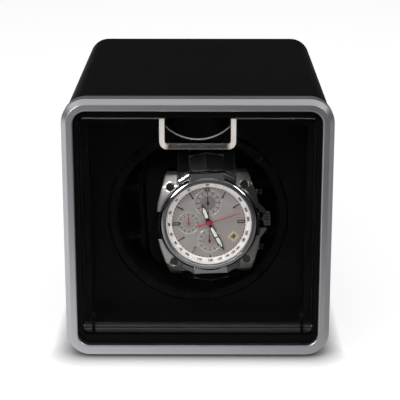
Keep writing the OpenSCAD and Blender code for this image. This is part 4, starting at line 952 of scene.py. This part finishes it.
class WINDER_OT_pillow(bpy.types.Operator):
    """Makes the padded pillow that the bracelet is closed round"""

    bl_idname = "winder.pillow"
    bl_label = "Pillow"

    def execute(self, context):
        sizes = context.scene.winder_pillow
        low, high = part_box("cushion")
        middle = (low + high) / 2
        # The solid is turned by the watch's tilt, so its own width and height come from its box.
        tilt = math.atan2(WATCH_RIGHT.z, WATCH_RIGHT.x)
        c, s = math.cos(tilt), math.sin(tilt)
        width = (high.x - low.x - (high.z - low.z) * s) / c
        height = (high.z - low.z - width * s) / c
        half = np.array([width / 2, (high.y - low.y) / 2, height / 2])
        verts, faces = pillow_shell(half - sizes.shrink)
        piece = mesh_object("wrist_pillow", verts, faces)
        swell(piece, sizes.voxel, sizes.most_move)
        limit = half - 0.15 * MM
        x, y, z = np.clip(mesh_points(piece.data), -limit, limit).T
        placed = np.stack([middle.x + x * c - z * s, middle.y + y, middle.z + x * s + z * c], 1)
        piece.data.vertices.foreach_set("co", placed.ravel())
        piece.data.polygons.foreach_set("use_smooth", [True] * len(piece.data.polygons))
        piece.data.update()
        piece.data.materials.clear()
        piece.data.materials.append(pillow_velour(context.scene.winder_finishes.pillow).material)
        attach(piece, "drum")
        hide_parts("cushion")
        return {"FINISHED"}


# ---------------------------------------------------------------- the stage

# The share of the floor and of the world that is mirrored from behind a clear sheet
INSIDE_SHARE = 0.4


def lamp(name, place, aim, size, power, mirrored=True):
    """A soft rectangular lamp that faces a point, and that metal and clear plastic may mirror."""
    data = bpy.data.lights.new(name, "AREA")
    data.shape = "RECTANGLE"
    data.size, data.size_y = size
    data.energy = power
    thing = bpy.data.objects.new(name, data)
    thing.location = place
    thing.rotation_euler = (Vector(aim) - Vector(place)).to_track_quat("-Z", "Y").to_euler()
    thing.visible_glossy = mirrored
    thing.visible_transmission = mirrored
    bpy.context.scene.collection.objects.link(thing)


class WINDER_OT_stage(bpy.types.Operator):
    """Makes the pale floor, the soft lamps, the world and the camera"""

    bl_idname = "winder.stage"
    bl_label = "Stage"

    def execute(self, context):
        self.floor()
        self.world()
        self.lamps()
        self.camera(context.scene.winder_view)
        context.scene.view_settings.view_transform = "Standard"
        return {"FINISHED"}

    def floor(self):
        """A pale floor, white to the camera but for the shade close round the box. What metal and
        clear plastic mirror of it falls from left to right and away to the front, has a dimmer part
        before an edge in front of the box, and is less inside the box."""
        reach = 4.0
        corners = [(-reach, -reach, 0), (reach, -reach, 0), (reach, reach, 0), (-reach, reach, 0)]
        ground = mesh_object("floor", corners, [[0, 1, 2, 3]], smooth=False)
        finish = Finish("floor_paper", (0.85, 0.85, 0.85), 0.9, specular=0.0)
        path = finish.node("ShaderNodeLightPath").outputs
        parts = finish.node("ShaderNodeSeparateXYZ")
        finish.link(finish.place, parts.inputs[0])

        shade = finish.node("ShaderNodeAmbientOcclusion", samples=16)
        shade.inputs["Distance"].default_value = 11 * MM
        close = finish.math("POWER", shade.outputs["AO"], 2.4)
        seen = finish.math("MULTIPLY", path["Is Camera Ray"], close)

        edge, half_blend = FRONT_Y - 0.114, 0.004
        mirrored = finish.math("MAXIMUM", path["Is Glossy Ray"], path["Is Transmission Ray"])
        level = mirrored
        for factor in (
            finish.ramp(parts.outputs["X"], -0.13, 0.13, 0.84, 0.33),
            finish.ramp(parts.outputs["Y"], edge - half_blend, edge + half_blend, 0.48, 1.0),
            finish.ramp(parts.outputs["Y"], FRONT_Y - 0.7, edge, 0.7, 1.0),
            finish.ramp(path["Transparent Depth"], 0, 1, 1.0, INSIDE_SHARE),
        ):
            level = finish.math("MULTIPLY", level, factor)

        glow = finish.node("ShaderNodeEmission")
        finish.link(finish.math("MAXIMUM", level, seen), glow.inputs["Strength"])
        glow_to_camera = finish.math("MULTIPLY", path["Is Camera Ray"], 0.82)
        share = finish.math("MAXIMUM", glow_to_camera, mirrored)
        finish.mix_shaders(share, finish.shader, glow)
        ground.data.materials.append(finish.material)

    def world(self):
        """White to the camera; to mirrors it is dim at the horizon and brighter overhead, and dimmer
        still inside the box."""
        world = bpy.data.worlds.new("studio")
        bpy.context.scene.world = world
        world.use_nodes = True
        tree = world.node_tree
        back = tree.nodes["Background"]
        back.inputs["Color"].default_value = (1, 1, 1, 1)
        path = tree.nodes.new("ShaderNodeLightPath").outputs

        def ramp(source, start, stop, low, high):
            made = tree.nodes.new("ShaderNodeMapRange")
            set_range(made, start, stop, low, high)
            tree.links.new(source, made.inputs["Value"])
            return made.outputs[0]

        def combine(operation, first, second):
            made = tree.nodes.new("ShaderNodeMath")
            made.operation = operation
            tree.links.new(first, made.inputs[0])
            tree.links.new(second, made.inputs[1])
            return made.outputs[0]

        parts = tree.nodes.new("ShaderNodeSeparateXYZ")
        tree.links.new(tree.nodes.new("ShaderNodeTexCoord").outputs["Generated"], parts.inputs[0])
        height = ramp(parts.outputs["Z"], 0.35, 1.0, 0.07, 0.75)
        level = combine("MULTIPLY", height, ramp(path["Transparent Depth"], 0, 1, 1.0, INSIDE_SHARE))
        mirrored = combine("MAXIMUM", path["Is Glossy Ray"], path["Is Transmission Ray"])
        glossy = combine("MULTIPLY", mirrored, level)
        diffuse = ramp(path["Is Diffuse Ray"], 0, 1, 0, 0.4)
        strength = combine("MAXIMUM", path["Is Camera Ray"], combine("MAXIMUM", glossy, diffuse))
        tree.links.new(strength, back.inputs["Strength"])

    def lamps(self):
        """Four soft lamps that face the middle of the window."""
        aim = (0, FRONT_Y, MIDDLE_Z)
        lamp("top_softbox", (-0.1, -0.55, 0.85), aim, (0.6, 0.4), 7.8, mirrored=False)
        lamp("left_softbox", (-0.6, -0.6, 0.5), aim, (0.25, 0.35), 3.6)
        lamp("right_softbox", (0.65, -0.45, 0.55), aim, (0.15, 0.3), 1.1)
        lamp("back_softbox", (0.1, 0.7, 0.9), aim, (0.8, 0.5), 6.0, mirrored=False)

    def camera(self, view):
        """A camera in front of the bezel, tilted down and a little to the left."""
        data = bpy.data.cameras.new("camera")
        data.lens = view.focal
        data.sensor_width = 36
        thing = bpy.data.objects.new("camera", data)
        thing.location = (view.side, FRONT_Y - view.distance, view.height)
        thing.rotation_euler = (math.pi / 2 - view.pitch, 0, -view.yaw)
        bpy.context.scene.collection.objects.link(thing)
        bpy.context.scene.camera = thing


class WINDER_PT_panel(bpy.types.Panel):
    """Lists the winder's operators and settings in the sidebar"""

    bl_label = "Winder"
    bl_space_type = "VIEW_3D"
    bl_region_type = "UI"
    bl_category = "Winder"

    def draw(self, context):
        for operator in OPERATORS:
            self.layout.operator(operator.bl_idname)
        for group in (context.scene.winder_finishes, context.scene.winder_watch,
                      context.scene.winder_pillow, context.scene.winder_view):
            box = self.layout.box()
            for key in group.__annotations__:
                box.prop(group, key)


GROUPS = {
    "winder_finishes": WinderFinishes,
    "winder_watch": WatchFinishes,
    "winder_pillow": PillowSizes,
    "winder_view": StageView,
}
OPERATORS = (
    WINDER_OT_stage, WINDER_OT_box, WINDER_OT_door, WINDER_OT_drum, WINDER_OT_rear,
    WINDER_OT_watch, WINDER_OT_print, WINDER_OT_lume, WINDER_OT_pillow,
)


def register():
    for kind in (*GROUPS.values(), *OPERATORS, WINDER_PT_panel):
        bpy.utils.register_class(kind)
    for key, group in GROUPS.items():
        setattr(bpy.types.Scene, key, bpy.props.PointerProperty(type=group))


def unregister():
    for key in GROUPS:
        delattr(bpy.types.Scene, key)
    for kind in reversed((*GROUPS.values(), *OPERATORS, WINDER_PT_panel)):
        bpy.utils.unregister_class(kind)


def main():
    register()
    for operator in OPERATORS:
        group, name = operator.bl_idname.split(".")
        getattr(getattr(bpy.ops, group), name)()


if __name__ == "__main__":
    main()
